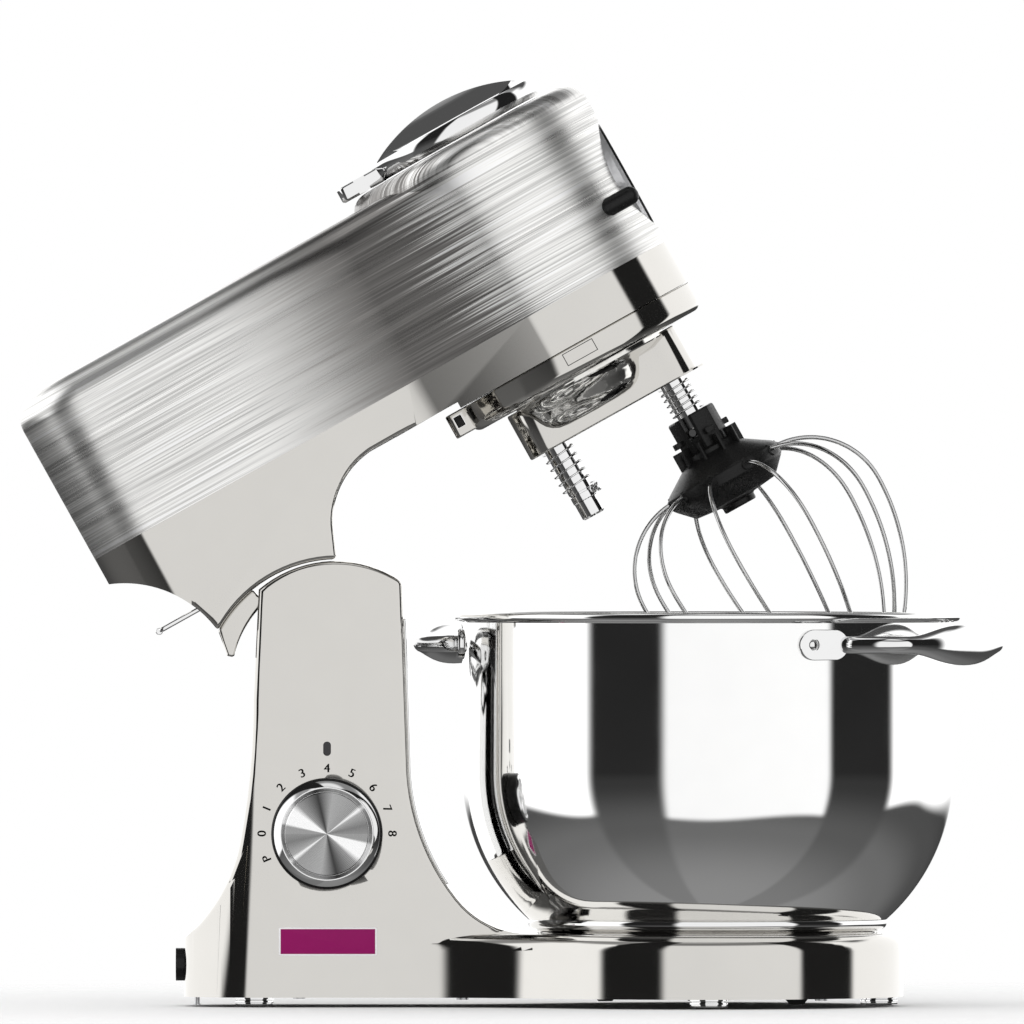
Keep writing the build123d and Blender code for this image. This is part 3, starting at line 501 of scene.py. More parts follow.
# %% Brushed cover
def brushed_cover():
    """Steel brushed along the head: streaks turned up with it, and a painted dark reflection band behind
    the round front.
    """
    made, shader, tree, place_of = new_material("brushed_cover", (0.8, 0.79, 0.77), metallic=1.0)
    shifted = put(tree, "Mapping", {"Vector": place_of, "Location": -PIVOT}, vector_type="POINT")
    level = put(tree, "Mapping", {"Vector": shifted, "Rotation": (0, TILT, 0)})
    split = put(tree, "SeparateXYZ", {0: level})
    on_top = spread(tree, split.outputs["Z"], 0.188, 0.196)
    lines = use(tree, BRUSH, Vector=level, Length=0.09, Width=0.8 * MM, Top=on_top)
    fine, broad = lines.outputs["Fine"], lines.outputs["Broad"]
    # Painted reflection: a dark band is painted into the base colour behind the round front, with ragged
    # brushed edges, and the light tone around it is a painted bright reflection.
    ragged = calc(tree, "MULTIPLY_ADD", fine, 0.045, split.outputs["X"])
    painted_dark_band = calc(tree, "MULTIPLY", spread(tree, ragged, 0.045, 0.125),
                spread(tree, ragged, 0.160, 0.195, 1.0, 0.0))
    painted_reflection = mixed(tree, painted_dark_band, (0.98, 0.975, 0.955, 1), (0.30, 0.29, 0.28, 1))
    streaks = calc(tree, "MULTIPLY", spread(tree, fine, 0, 1, 0.58, 1.15, soft=False),
                   spread(tree, broad, 0, 1, 0.86, 1.06, soft=False))
    along = put(tree, "VectorTransform", {0: Vector((math.cos(TILT), 0, math.sin(TILT)))},
                vector_type="VECTOR", convert_from="OBJECT", convert_to="WORLD")
    feed(shader, {"Base Color": mixed(tree, 1.0, painted_reflection, streaks, "MULTIPLY"), "Tangent": along,
                  "Roughness": spread(tree, broad, 0, 1, 0.27, 0.33), "Anisotropic": 0.6})
    return made


COVER = brushed_cover()


# %% Spun aluminium of the knob
KNOB_CENTRE = Vector((-186.1, 0, 84.6)) * MM
GROOVES_PER_RADIAN = 9000.0


def spun_cap(centre):
    """Turned disc: painted highlight and shade rays about its centre, over fine concentric grooves."""
    made, shader, tree, place_of = new_material("spun_aluminium", (0.7, 0.7, 0.7), metallic=1.0)
    centred = put(tree, "Mapping", {"Vector": place_of, "Location": -centre})
    split = put(tree, "SeparateXYZ", {0: centred})
    turn = calc(tree, "ARCTAN2", split.outputs["Z"], split.outputs["X"])
    half_turns = calc(tree, "MULTIPLY_ADD", turn, 1 / math.pi, 1.0)
    # Painted reflection: bright and dark rays are set into the base colour by the angle round the
    # centre.
    painted_highlight_rays = ramp(tree, calc(tree, "FRACT", half_turns),
                [(0.0, 0.30), (0.07, 0.22), (0.18, 0.42), (0.205, 1.0), (0.235, 0.34), (0.45, 0.42),
                 (0.575, 0.05), (0.75, 0.34), (0.80, 1.0), (0.92, 1.0), (0.94, 0.35)], ease="LINEAR")
    flat = put(tree, "CombineXYZ", {"X": split.outputs["X"], "Y": split.outputs["Z"]})
    reach = put(tree, "VectorMath", {0: flat}, operation="LENGTH").outputs["Value"]
    groove = calc(tree, "SINE", calc(tree, "MULTIPLY", reach, GROOVES_PER_RADIAN))
    feed(shader, {"Base Color": painted_highlight_rays, "Roughness": spread(tree, groove, -1, 1, 0.26, 0.34),
                  "Normal": bump(tree, groove, 0.15, 0.03 * MM)})
    return made


SPUN = spun_cap(KNOB_CENTRE)


# %% Plastics and rubber
def moulded(name, color, size, roughness, strength, clear=0.0):
    """Moulded plastic or rubber with its grain."""
    made, shader, tree, place_of = new_material(name, color, roughness=roughness)
    grain = use(tree, GRAIN, Vector=place_of, Size=size)
    feed(shader, {"Roughness": calc(tree, "ADD", grain.outputs["Roughness"], roughness - 0.4),
                  "Normal": bump(tree, grain.outputs["Height"], strength, 0.08 * MM),
                  "Coat Weight": clear, "Specular IOR Level": 0.25})
    return made


BLACK = moulded("black_plastic", (0.006, 0.006, 0.006), 0.0009, 0.33, 0.25)
RUBBER = moulded("rubber", (0.018, 0.018, 0.018), 0.0006, 0.7, 0.6)
LENS = moulded("dark_lens", (0.012, 0.011, 0.013), 0.002, 0.15, 0.05, clear=0.6)
BOARD = moulded("circuit_board", (0.02, 0.13, 0.06), 0.001, 0.5, 0.2)
INK = moulded("dial_ink", (0.012, 0.012, 0.012), 0.0005, 0.5, 0.1)


# %% Badge, winding
PLUM = (0.27, 0.0, 0.105)
BADGE_CENTRE = Vector((-185.7, 0, 31.85)) * MM


def badge_material():
    """Plum enamel with a thin white border and no lettering."""
    made, shader, tree, place_of = new_material("badge", PLUM, roughness=0.4)
    centred = put(tree, "Mapping", {"Vector": place_of, "Location": -BADGE_CENTRE})
    split = put(tree, "SeparateXYZ", {0: centred})
    masks = [spread(tree, calc(tree, "ABSOLUTE", split.outputs[axis]), half - 0.0001, half + 0.0001)
             for axis, half in (("X", 0.0231), ("Z", 0.0061))]
    border = calc(tree, "MAXIMUM", *masks)
    clouds = use(tree, CLOUDS, Vector=place_of, Size=0.004, Low=0.35, High=0.45)
    feed(shader, {"Base Color": mixed(tree, border, (*PLUM, 1), (0.85, 0.84, 0.85, 1)),
                  "Roughness": clouds.outputs["Roughness"], "Specular IOR Level": 0.2})
    return made


def winding_material():
    """Laminated iron with enamelled wire: fine rings of two tones."""
    made, shader, tree, place_of = new_material("winding", (0.25, 0.12, 0.06), metallic=0.6)
    bands = put(tree, "TexWave", {"Vector": place_of, "Scale": 260.0, "Distortion": 1.5}).outputs[1]
    feed(shader, {"Base Color": mixed(tree, bands, (0.42, 0.18, 0.07, 1), (0.10, 0.08, 0.07, 1)),
                  "Roughness": spread(tree, bands, 0, 1, 0.3, 0.55)})
    return made


BADGE = badge_material()
WINDING = winding_material()
FINISHES = {"polished_casting": CASTING, "bright_chrome": CHROME, "polished_steel": STEEL,
            "brushed_cover": COVER, "spun_aluminium": SPUN, "machined_steel": MACHINED,
            "cast_aluminium": CAST_ALUMINIUM, "black_plastic": BLACK, "dark_lens": LENS,
            "badge": BADGE, "rubber": RUBBER, "winding": WINDING, "brass": BRASS, "board": BOARD}
for row in frame["record"]["subparts"]:
    paint(NODES[row["node"]], FINISHES[row["material_slot"]])

# %% [markdown]
# ## Stand casting
# The stand is one hollow casting whose outside is polished until every edge is slightly round. It
# could be modelled afresh from a cube and a circle, but its shape is already right, so a merged copy
# of it is taken and only its sharp edges are rolled over. Those narrow roundings catch the dark and
# bright lines that make a polished casting read as metal.

# %% Stand
REAR_CORNER_X = -219.5
REAR_CORNER_R = 37.0
COLUMN_FLAT = 7.0
BASE_TOP = 36.5


def on_the_column(corner):
    """True on the column's outer edges above the base, also where its rear corners turn in."""
    behind = min(max(REAR_CORNER_X - corner.x, 0.0), REAR_CORNER_R)
    reach = COLUMN_FLAT + math.sqrt(REAR_CORNER_R ** 2 - behind ** 2)
    return corner.z > BASE_TOP and abs(abs(corner.y) - reach) < 0.2


body = roll_over(casting_copy("stand_shell"), 2.6, on_the_column)
fitted(body, CASTING, "stand_body", "stand", ["stand_shell"], angle=40)
trim = soften(casting_copy("column_trim"), 0.55, segments=3, angle=40)
fitted(trim, CHROME, "column_edge_strip", "stand", ["column_trim"], angle=40)

# %% [markdown]
# ## Feet
# Each foot is a chromed ring with shallow grooves round a rubber pad. The same outline is turned at
# all five places, because identical feet should share one shape. A sixth pad bears the middle.

# %% Feet
RING = [(7.0, 4.4), (9.2, 4.4), (9.2, 3.6), (8.5, 3.4), (8.5, 2.9), (9.2, 2.7), (9.2, 1.9),
        (8.5, 1.7), (8.5, 1.3), (9.2, 1.1), (9.0, 0.5), (7.0, 0.5)]
PAD = [(7.0, 4.3), (7.0, 0.8), (6.2, 0.0)]
PLACES = [(-222, -26), (-222, 26), (0, -84), (0, 84), (84, 0)]
rings = [turned(RING, sides=48, centre=where, ends="open") for where in PLACES]
fitted(join(rings), CHROME, "foot_rings_turned", "stand", ["foot_rings"])
pads = [turned(PAD, sides=40, centre=where) for where in PLACES + [(0, 0)]]
fitted(join(pads), RUBBER, "foot_pads_moulded", "stand", ["foot_pads"])

# %% [markdown]
# ## Bowl
# The bowl is spun from one sheet: a straight wall on a generous curve, with its rim rolled outwards
# for strength. The outline goes up the outside, round the roll and down the inside, so the sheet has
# its true thickness without a Solidify modifier. The foot below it is a separate rolled ring.

# %% Bowl and its foot
BOWL_CURVE = (22.9, 115)
BOWL_CURVE_R = 97.6
SHEET = 1.0


def bowl():
    outer = arc_points(BOWL_CURVE, BOWL_CURVE_R, -64.4, 0, 28)
    roll = arc_points((121.75, 190.35), 2.25, -105, 180, 22)
    inner = arc_points(BOWL_CURVE, BOWL_CURVE_R - SHEET, 0, -64.4, 28)
    outline = [(0.5, 27), (30, 27)] + outer + [(120.5, 150), (120.5, 187.6)] + roll
    outline += [(119.5, 186), (119.5, 150)] + inner + [(30, 28), (0.5, 28)]
    return turned(outline, sides=160)


fitted(bowl(), STEEL, "bowl_spun", "bowl", ["bowl_shell"])


def bowl_ring():
    bead = arc_points((84.6, 40.6), 3.3, 70, -62, 10)
    outline = [(80.0, 45.2), (84.0, 44.6)] + bead + [(82.2, 35.4), (80.6, 30), (80, 17.6), (75, 17.6),
                                                    (75, 26)]
    return turned(outline, sides=144, ends="open")


fitted(bowl_ring(), CHROME, "bowl_foot_ring", "bowl", ["bowl_foot"])

# %% [markdown]
# ## Bowl handles
# A handle is one bent bar: a slim arm leaves each bracket, and the grip swells to an oval in the
# middle. A ring of vertices is extruded station by station; between stations it is turned about the
# bowl's axis, moved out and scaled, so the oval follows the bend without a twist.

# %% A bent bar
def bent_bar(stations, height, sides=28):
    """Extrude a ring through stations of (angle, reach, half thickness, half height)."""
    angle, reach, thick, tall = stations[0]
    let_go()
    bpy.ops.mesh.primitive_circle_add(vertices=sides, radius=1, fill_type="NGON")
    piece = bpy.context.object
    upright = Matrix.Rotation(math.pi / 2, 4, "X")
    size = Matrix.Diagonal((thick * MM, 1, tall * MM, 1))
    place(piece, at(0, 0, 0, angle) @ at(reach, 0, height) @ size @ upright)
    edit(piece, action="SELECT")
    for next_angle, next_reach, next_thick, next_tall in stations[1:]:
        bpy.ops.mesh.extrude_region_move()
        turn = math.radians(next_angle - angle)
        bpy.ops.transform.rotate(value=-turn if bpy.app.background else turn, orient_axis="Z",
                                 center_override=(0, 0, height * MM))
        out = Vector((math.cos(math.radians(next_angle)), math.sin(math.radians(next_angle)), 0))
        bpy.ops.transform.translate(value=out * ((next_reach - reach) * MM))
        middle = out * next_reach * MM + Vector((0, 0, height * MM))
        flat = next_thick / thick
        bpy.ops.transform.resize(value=(flat, flat, next_tall / tall), center_override=middle)
        angle, reach, thick, tall = next_angle, next_reach, next_thick, next_tall
    return outward(piece)


# %% Handles
HANDLE_HEIGHT = 177.0


def handle(azimuth):
    """Bar, two pill-shaped brackets on the wall, and a rivet in each."""
    half = [(27.5, 121.6, 6.2, 4.3), (25.0, 128.0, 6.0, 4.3), (22.0, 136.0, 6.2, 4.3),
            (19.5, 141.8, 5.6, 4.3), (17.0, 144.6, 4.6, 4.3), (14.5, 145.6, 4.3, 4.6),
            (11.5, 145.8, 4.4, 6.2), (8.0, 145.8, 4.7, 8.4), (4.0, 145.8, 4.9, 9.9)]
    stations = [(-a, r, t, h) for a, r, t, h in half] + [(0, 145.8, 4.9, 10.3)]
    stations += [(a, r, t, h) for a, r, t, h in reversed(half)]
    parts = [modify(bent_bar(stations, HANDLE_HEIGHT), "SUBSURF", levels=1, render_levels=1)]
    for sign in (-1, 1):
        pill = turned([(7.5, 0), (7.5, 1.9), (7.2, 2.3)], sides=32)
        change(pill, "VERT", lambda v: v.co.x > 0.1 * MM, bpy.ops.transform.translate,
               value=(11.0 * MM, 0, 0))
        cut(pill, rod(2.9, 8, at(0, 0, -3), sides=24))
        rivet = turned([(2.7, 0.1), (2.6, 0.7), (2.0, 1.3), (1.0, 1.7), (0.2, 1.8)], sides=24)
        wall = at(0, 0, 0, sign * 34.0) @ at(120.3, 0, HANDLE_HEIGHT, 90, "Y")
        parts.append(place(join([pill, rivet]), wall @ at(0, 0, 0, -sign * 90)))
    return place(join(parts), at(0, 0, 0, azimuth))


for label, azimuth in (("front", -31.35), ("rear", 148.65)):
    fitted(handle(azimuth), CHROME, f"handle_{label}_forged", "bowl",
           [f"handle_{label}"] + (["handle_rivets"] if label == "front" else []), angle=40)

# %% [markdown]
# ## Head outline
# Seen from above the head has a round rear, straight sides that flare out in a gentle bend, and a
# round front centred on the planetary axis. The outline starts as the front circle: its rear part is
# removed, the two ends are drawn back as straight sides, and the corners are bevelled round.

# %% Head outline
HALF_WIDTH = 44.0
FRONT_RADIUS = 64.0
FRONT_ARC = 103.2
REAR_U = -74.5
REAR_CORNER = 33.0
KNEE_U = 88.0
KNEE_RADIUS = 180.0
KNEE_HALF_TURN = math.radians(6.5)


def head_outline(height, inset=0.0):
    """Filled outline of the head at one height, moved in by the inset."""
    let_go()
    half, rear = HALF_WIDTH - inset, REAR_U + inset
    bpy.ops.mesh.primitive_circle_add(vertices=144, radius=(FRONT_RADIUS - inset) * MM,
                                      fill_type="NOTHING")
    piece = bpy.context.object
    change(piece, "VERT", lambda v: math.degrees(abs(math.atan2(v.co.y, v.co.x))) > FRONT_ARC,
           bpy.ops.mesh.delete, type="VERT")
    place(piece, at(AXIS_U, 0, height))
    ends = sorted(piece.data.vertices, key=lambda v: v.co.x)[:2]
    numbers = [v.index for v in ends]
    last_u, last_y = ends[0].co.x / MM, abs(ends[0].co.y) / MM
    choose(piece, "VERT", lambda v: v.index in numbers)
    for u in (KNEE_U, rear):
        bpy.ops.mesh.extrude_vertices_move(
            TRANSFORM_OT_translate={"value": ((u - last_u) * MM, 0, 0)})
        bpy.ops.transform.resize(value=(1, half / last_y, 1), center_override=(0, 0, 0))
        last_u, last_y = u, half
    bpy.ops.mesh.edge_face_add()
    let_go()
    knee = KNEE_RADIUS * math.tan(KNEE_HALF_TURN)
    for u, offset, steps in ((rear, REAR_CORNER - inset, 14), (KNEE_U, knee, 10)):
        change(piece, "VERT", lambda v: abs(v.co.x / MM - u) < 0.5 and abs(v.co.y) > 30 * MM,
               bpy.ops.mesh.bevel, offset=offset * MM, segments=steps, affect="VERTICES",
               clamp_overlap=False)
    edit(piece, "EDGE", "SELECT")
    bpy.ops.mesh.edge_face_add()
    let_go()
    return piece


def raised(piece, tall):
    """Extrude a flat face upwards into a solid."""
    edit(piece, action="SELECT")
    bpy.ops.mesh.extrude_region_move(TRANSFORM_OT_translate=up(tall))
    return outward(piece)


def round_top(piece, height, radius, segments=8):
    """Bevel the edges of the face at one height."""
    return change(piece, "EDGE", lambda e: all(abs(c.z - height) < 0.01 for c in corners(piece, e)),
                  bpy.ops.mesh.bevel, offset=radius * MM, segments=segments, affect="EDGES",
                  clamp_overlap=False)


# %% [markdown]
# ## Brushed cover
# The cover is a deep-drawn steel shell: the outline raised to a rounded top, with a low round
# plateau over the planetary axis and a hole for the front outlet. It is drawn as two solids joined
# by a Boolean, then hollowed by a smaller copy, so the outlet's edge shows the sheet's thickness.

# %% Cover
COVER_FOOT = 108.3
COVER_TOP = 194.3
PLATEAU_TOP = 200.4
SHELL_WALL = 2.5
OUTLET_W = 146.7
BUTTON_Y, BUTTON_W = -42, 136


def cover_solid(inset):
    body = raised(head_outline(COVER_FOOT, inset), COVER_TOP - COVER_FOOT - inset)
    round_top(body, COVER_TOP - inset, 14 - inset)
    edge = arc_points((FRONT_RADIUS - 10, PLATEAU_TOP - 10), 10 - inset, 0, 90, 8)
    foot = 180.35 if inset == 0 else 179.0
    top = turned([(FRONT_RADIUS - inset, foot)] + edge + [(20, PLATEAU_TOP - inset)], sides=144,
                 centre=(AXIS_U, 0))
    return cut(body, top, "UNION")


def cover():
    shell = cover_solid(0.0)
    cut(shell, place(cover_solid(SHELL_WALL), at(0, 0, -0.4)))
    cut(shell, rod(30.8, 70, at(AXIS_U, 0, OUTLET_W, 90, "Y"), sides=96))
    cut(shell, rod(4.75, 50, at(205, BUTTON_Y, BUTTON_W, 90, "Y"), sides=32))
    cut(shell, rod(14, 30, at(AXIS_U, 0, 185), sides=64))
    return shell


fitted(cover(), COVER, "cover_brushed", "head", ["head_cover"], HEAD, 30)

# %% [markdown]
# ## Lower shell and cap
# The polished lower shell carries the neck. Its shape is the engineering casting; a merged copy of
# it gets the soft edges that the polisher leaves. The planetary cap below it is turned, with a dark
# parting line above it and a small panel let into its side.

# %% Lower shell
LEVEL = HEAD.inverted()


def on_the_neck(corner):
    """True on the outer edges of the neck and hood, below the seam and behind the cap."""
    u, y, w = LEVEL @ (corner * MM) / MM
    return abs(y) > HALF_WIDTH - 0.1 and w < COVER_FOOT - 0.8 and u < 100


lower = roll_over(casting_copy("head_lower_shell"), 2.4, on_the_neck)
fitted(lower, CASTING, "lower_shell", "head", ["head_lower_shell"], angle=40)
skirt = roll_over(casting_copy("neck_skirt"), 1.1, lambda c: abs(c.y) > 36.9, segments=3)
fitted(skirt, CASTING, "skirt_rolled", "head", ["neck_skirt"], angle=40)


# %% Cap, panel and catch
def cap():
    rounding = arc_points((59, 76.5), 5, 0, -90, 10)
    outline = [(61.5, 85.4), (63.5, 85.4), (64, 84.9)] + rounding + [(44, 71.5), (41.8, 72.2),
               (41.8, 74.5), (61.5, 74.5)]
    piece = turned(outline, sides=160, centre=(AXIS_U, 0), ends="joined")
    groove = block((AXIS_U - 8.4, AXIS_U + 8.4), (-66, -63), (77.8, 84.3))
    return cut(piece, groove)


fitted(cap(), CASTING, "cap_turned", "head", ["front_cap"], HEAD)
panel = cut(turned([(61.8, 78.2), (63.95, 78.2), (63.95, 83.9), (61.8, 83.9)], sides=160,
                   centre=(AXIS_U, 0), ends="joined"),
            block((AXIS_U - 8.0, AXIS_U + 8.0), (-66, -60), (70, 90)), "INTERSECT")
fitted(panel, CASTING, "cap_panel", "head", ["cap_side_panel"], HEAD)
# Painted shade: a black slab behind the panel's edge gap stands for the shade in the groove.
gap_shade_slab = block((AXIS_U - 8.38, AXIS_U + 8.38), (-63.4, -62.9), (77.85, 84.25))
fitted(gap_shade_slab, BLACK, "panel_gap_shade", "head", (), HEAD)


def catch():
    piece = plate((AXIS_U - 73, AXIS_U - 60), (-12, 12), 73.4, 85.6, 3.0)
    soften(piece, 0.8)
    cut(piece, block((AXIS_U - 70, AXIS_U - 65.5), (-13, 13), (77.5, 83.5)))
    return piece


fitted(catch(), CASTING, "catch_block", "head", ["cap_catch"], HEAD)
# Painted shade: a black block fills the catch's slot and stands for the shade inside it.
slot_shade_block = soften(block((AXIS_U - 69.8, AXIS_U - 65.7), (-11.4, 11.4), (77.7, 83.3)), 0.3)
fitted(slot_shade_block, BLACK, "catch_slot_shade", "head", (), HEAD)

# %% [markdown]
# ## Lid over the top outlet
# The lid is a chromed tray with a steep rim. A ridge to grip it by runs across, scooped hollow on
# both sides so that fingers reach it. The ridge starts as an arched block; two long cylinders scoop
# its sides, and a notched tab stands at the rear.

# %% Lid
def lid():
    tray = turned([(16, 201.2), (43.5, 201.2), (45.4, 202.6), (46, 204.2), (46, 208.6),
                   (45.2, 210.2), (43.6, 211), (16, 211)], sides=128, centre=(AXIS_U, 0))
    arch = rod(84.3, 90, at(AXIS_U, 45, 137.2, 90, "X"), sides=256)
    keep = turned([(44.8, 206), (44.8, 226)], sides=128, centre=(AXIS_U, 0))
    ridge = cut(arch, keep, "INTERSECT")
    for side in (-1, 1):
        scoop = rod(38, 120, at(AXIS_U - 60, side * 44.5, 247.5, 90, "Y"), sides=128)
        cut(ridge, scoop)
    soften(ridge, 0.7, segments=3)
    tab = plate((AXIS_U - 65.4, AXIS_U - 40), (-16, 16), 201.2, 208.6, 4.0)
    soften(tab, 1.0)
    for side in (-1, 1):
        notch = block((AXIS_U - 56, AXIS_U - 50), (side * 16 - 2.5, side * 16 + 2.5), (200, 212))
        cut(tab, notch)
    return join([tray, ridge, tab])


fitted(lid(), CHROME, "lid_chromed", "lid", ["top_lid"], HEAD)

# %% [markdown]
# ## Front outlet and its release button
# The low-speed outlet hides behind a black dished cover inside a satin ring, and a capsule-shaped
# button beside it releases the attachment. Both stand a little proud of the cover.

# %% Front outlet
def outlet_ring():
    outline = [(28.8, 228), (28.8, 243.8), (30.6, 242), (30.8, 238), (30.8, 228)]
    return turned(outline, sides=96, ends="open")


FRONT = HEAD @ at(0, 0, OUTLET_W, 90, "Y")
fitted(outlet_ring(), CAST_ALUMINIUM, "outlet_ring", "head",
       ["port_ring"], FRONT)
dish = turned([(28.4, 238), (28.4, 243.6), (27.4, 245), (24, 245.0), (22.5, 243.4), (10, 243.0),
               (0.5, 242.8)], sides=96)
fitted(dish, BLACK, "outlet_cover", "port_cover", ["port_cover"], FRONT)
ball = arc_points((0, 240.4), 4.65, 0, 84, 8)
button = turned([(0.5, 222), (4.65, 222), (4.65, 226), (4.4, 226.3), (4.4, 226.9), (4.65, 227.2)] + ball,
                sides=40)
fitted(button, BLACK, "release_button", "port_release", ["port_release"],
       HEAD @ at(0, BUTTON_Y, BUTTON_W, 90, "Y"))

# %% [markdown]
# ## Release lever
# The tilt lock is worked by a thin chromed plate that sticks out behind the neck. It is a plate with
# rounded corners, a rolled end and a barrel round its pin.

# %% Lever
def lever():
    blade = soften(plate((-66, -28), (-11, 11), 61.3, 63.6, 5.0), 0.7)
    barrel = rod(4.0, 24, at(-30, 12, 62.5, 90, "X"), sides=40)
    lip = rod(1.7, 20, at(-64.2, 10, 62.4, 90, "X"), sides=24)
    return join([blade, soften(barrel, 0.4), soften(lip, 0.3)])


fitted(lever(), CHROME, "lever_plate", "release_lever", ["release_lever"], HEAD)

# %% [markdown]
# ## Planetary yoke
# The yoke is a polished casting: a straight bar for the two spindles, with a dome above it that
# swells up into the cap. The dome is turned along an S-curve and the bar is a plate with fully
# round ends. They overlap and are only joined, not merged by a Boolean, so that the dome keeps its
# wavier finish and the bar its flat one.

# %% Yoke
def yoke():
    dome = turned([(1, 52.6), (17, 52.6), (21, 52.9), (24.5, 53.8), (27.2, 55.3), (29.3, 57.4),
                   (30.8, 60.0), (32, 63.0), (33.6, 65.8), (36.2, 68.3), (39.2, 70.0), (40.2, 70.4),
                   (40.2, 70.9), (1, 70.9)], sides=128, centre=(AXIS_U - 6, 0))
    bar = plate((AXIS_U - 46.45, AXIS_U + 46.45), (-13.5, 13.5), BAR_BOTTOM, 70.8, 13.4, 20)
    soften(bar, 0.9)
    neck = turned([(40.4, 69), (40.9, 69.6), (40.9, 74.4), (10, 74.4)], sides=128, centre=(AXIS_U, 0))
    lip = plate((AXIS_U, AXIS_U + 50.4), (-12.6, 12.6), BAR_BOTTOM, BAR_BOTTOM + 0.8, 12.5, 16)
    parts = [paint(dome, YOKE_METAL), paint(neck, YOKE_METAL), paint(bar, CASTING), paint(lip, CASTING)]
    return join(parts)


fitted(yoke(), None, "yoke_cast", "planet_carrier", ["planet_yoke"], HEAD)

# %% [markdown]
# ## Spindles, pins and springs
# Each half-inch spindle has a chamfered tip, a groove for its washer and a cross pin that locks the
# tool. A spring of round wire pushes the tool down onto the pin. The spring is a small ring swept by
# the Screw modifier, the quickest true helix in Blender.

# %% Spindles
def spindle(side):
    outline = [(4.9, 8.0), (6.0, 8.9), (6.0, 16.9), (6.35, 17.3), (6.35, 20.6), (5.9, 20.9),
               (5.9, 21.6), (6.35, 21.9), (6.35, 75.2), (5.0, 75.2), (5.0, 85.3)]
    return turned(outline, sides=64, centre=(AXIS_U + side * SPINDLE_OFFSET, 0))


def cross_pin(side, turn):
    pin = turned([(2.25, 0), (2.25, 7.2), (1.7, 7.5), (1.7, 8.0), (2.25, 8.3), (2.25, 9.5),
                  (1.8, 10.0)], sides=32)
    return place(pin, at(AXIS_U + side * SPINDLE_OFFSET, 0, 19.8) @ at(0, 0, 0, turn)
                 @ at(0, 0, 0, 90, "Y"))


def spring(side, length, turns=5.5):
    let_go()
    bpy.ops.mesh.primitive_circle_add(vertices=10, radius=0.5 * MM,
                                      rotation=(math.pi / 2, 0, 0), location=(7.9 * MM, 0, 0))
    wire = bpy.context.object
    bpy.ops.object.transform_apply(location=True, rotation=True)
    modify(wire, "SCREW", angle=math.tau * turns, screw_offset=length * MM, steps=int(30 * turns),
           render_steps=int(30 * turns), iterations=1)
    edit(wire, "EDGE")
    bpy.ops.mesh.select_non_manifold(extend=False)
    bpy.ops.mesh.fill()
    outward(wire)
    return place(wire, at(AXIS_U + side * SPINDLE_OFFSET, 0, BAR_BOTTOM - 0.8 - length))


for label, side, turn, length in (("front", 1, -110, 16.4), ("rear", -1, -20, 22.85)):
    where = f"spindle_{label}"
    fitted(spindle(side), CHROME, f"{where}_turned", where, [where], HEAD)
    fitted(cross_pin(side, turn), CHROME, f"pin_{label}", where,
           [f"cross_pin_{label}"], HEAD)
    fitted(spring(side, length), CHROME, f"coil_{label}", where,
           [f"spring_{label}"], HEAD, angle=60)

# %% [markdown]
# ## Whisk
# Five loops of steel wire sit in a black moulded hub. A loop is a smooth curve with a round bevel
# that is turned into a mesh; each next loop is turned 36 degrees and its toe lies a wire higher, so
# the wires cross without touching. The hub is an eight-sided collar on a ribbed cone.

# %% Whisk wires
BELLY = (66, 90)
BELLY_RADIUS = 38
LONG_RADIUS = 106.1
LONG_TURN = 35.76
TOE_RADIUS = 16.0


def polar(radius, degrees):
    """Sideways and upward parts of a radius at an angle."""
    return radius * math.cos(math.radians(degrees)), radius * math.sin(math.radians(degrees))


def wire_loop(turn, rise):
    """One loop of wire about the whisk's axis, with its toe raised."""
    (wide, deep), shoulder = BELLY, BELLY[0] - BELLY_RADIUS
    half = [(19, 52), (shoulder, 52)]
    for degrees in range(81, -1, -9):
        across, above = polar(BELLY_RADIUS, degrees)
        half.append((shoulder + across, deep - above))
    long = arc_points((wide - LONG_RADIUS, 0), LONG_RADIUS, 0, -LONG_TURN, 10)[1:]
    half += [(r, deep - h) for r, h in long]
    across, above = polar(1, -LONG_TURN)
    bend = (TOE_RADIUS - rise) / (1 + above)
    toe_r, toe_b = half[-1][0] - bend * across, half[-1][1] + bend * above
    for degrees in (-46, -57, -68, -79, -90):
        across, above = polar(bend, degrees)
        half.append((toe_r + across, toe_b - above))
    path = half + [(half[-1][0] * 0.5, half[-1][1]), (0, half[-1][1])]
    path += [(-r, b) for r, b in reversed(path[:-1])]
    curve = bpy.data.curves.new("loop", "CURVE")
    curve.dimensions = "3D"
    curve.bevel_depth = 1.1 * MM
    curve.bevel_resolution = 3
    curve.resolution_u = 3
    spline = curve.splines.new("BEZIER")
    spline.bezier_points.add(len(path) - 1)
    for point, (r, b) in zip(spline.bezier_points, path):
        point.co = (r * MM, 0, -b * MM)
        point.handle_left_type = point.handle_right_type = "AUTO"
    let_go()
    loop = bpy.data.objects.new("loop", curve)
    bpy.context.scene.collection.objects.link(loop)
    pick(loop)
    bpy.ops.object.convert(target="MESH")
    return place(bpy.context.object, at(0, 0, 0, turn))


WHISK = HEAD @ at(AXIS_U + SPINDLE_OFFSET, 0, BAR_BOTTOM)
LOOP_STEP = 36
FIRST_LOOP = 5
loops = [wire_loop(FIRST_LOOP + LOOP_STEP * k, 2.4 * k) for k in range(5)]
fitted(join(loops), WIRE, "whisk_loops", "whisk", ["whisk_wires"], WHISK, 60)


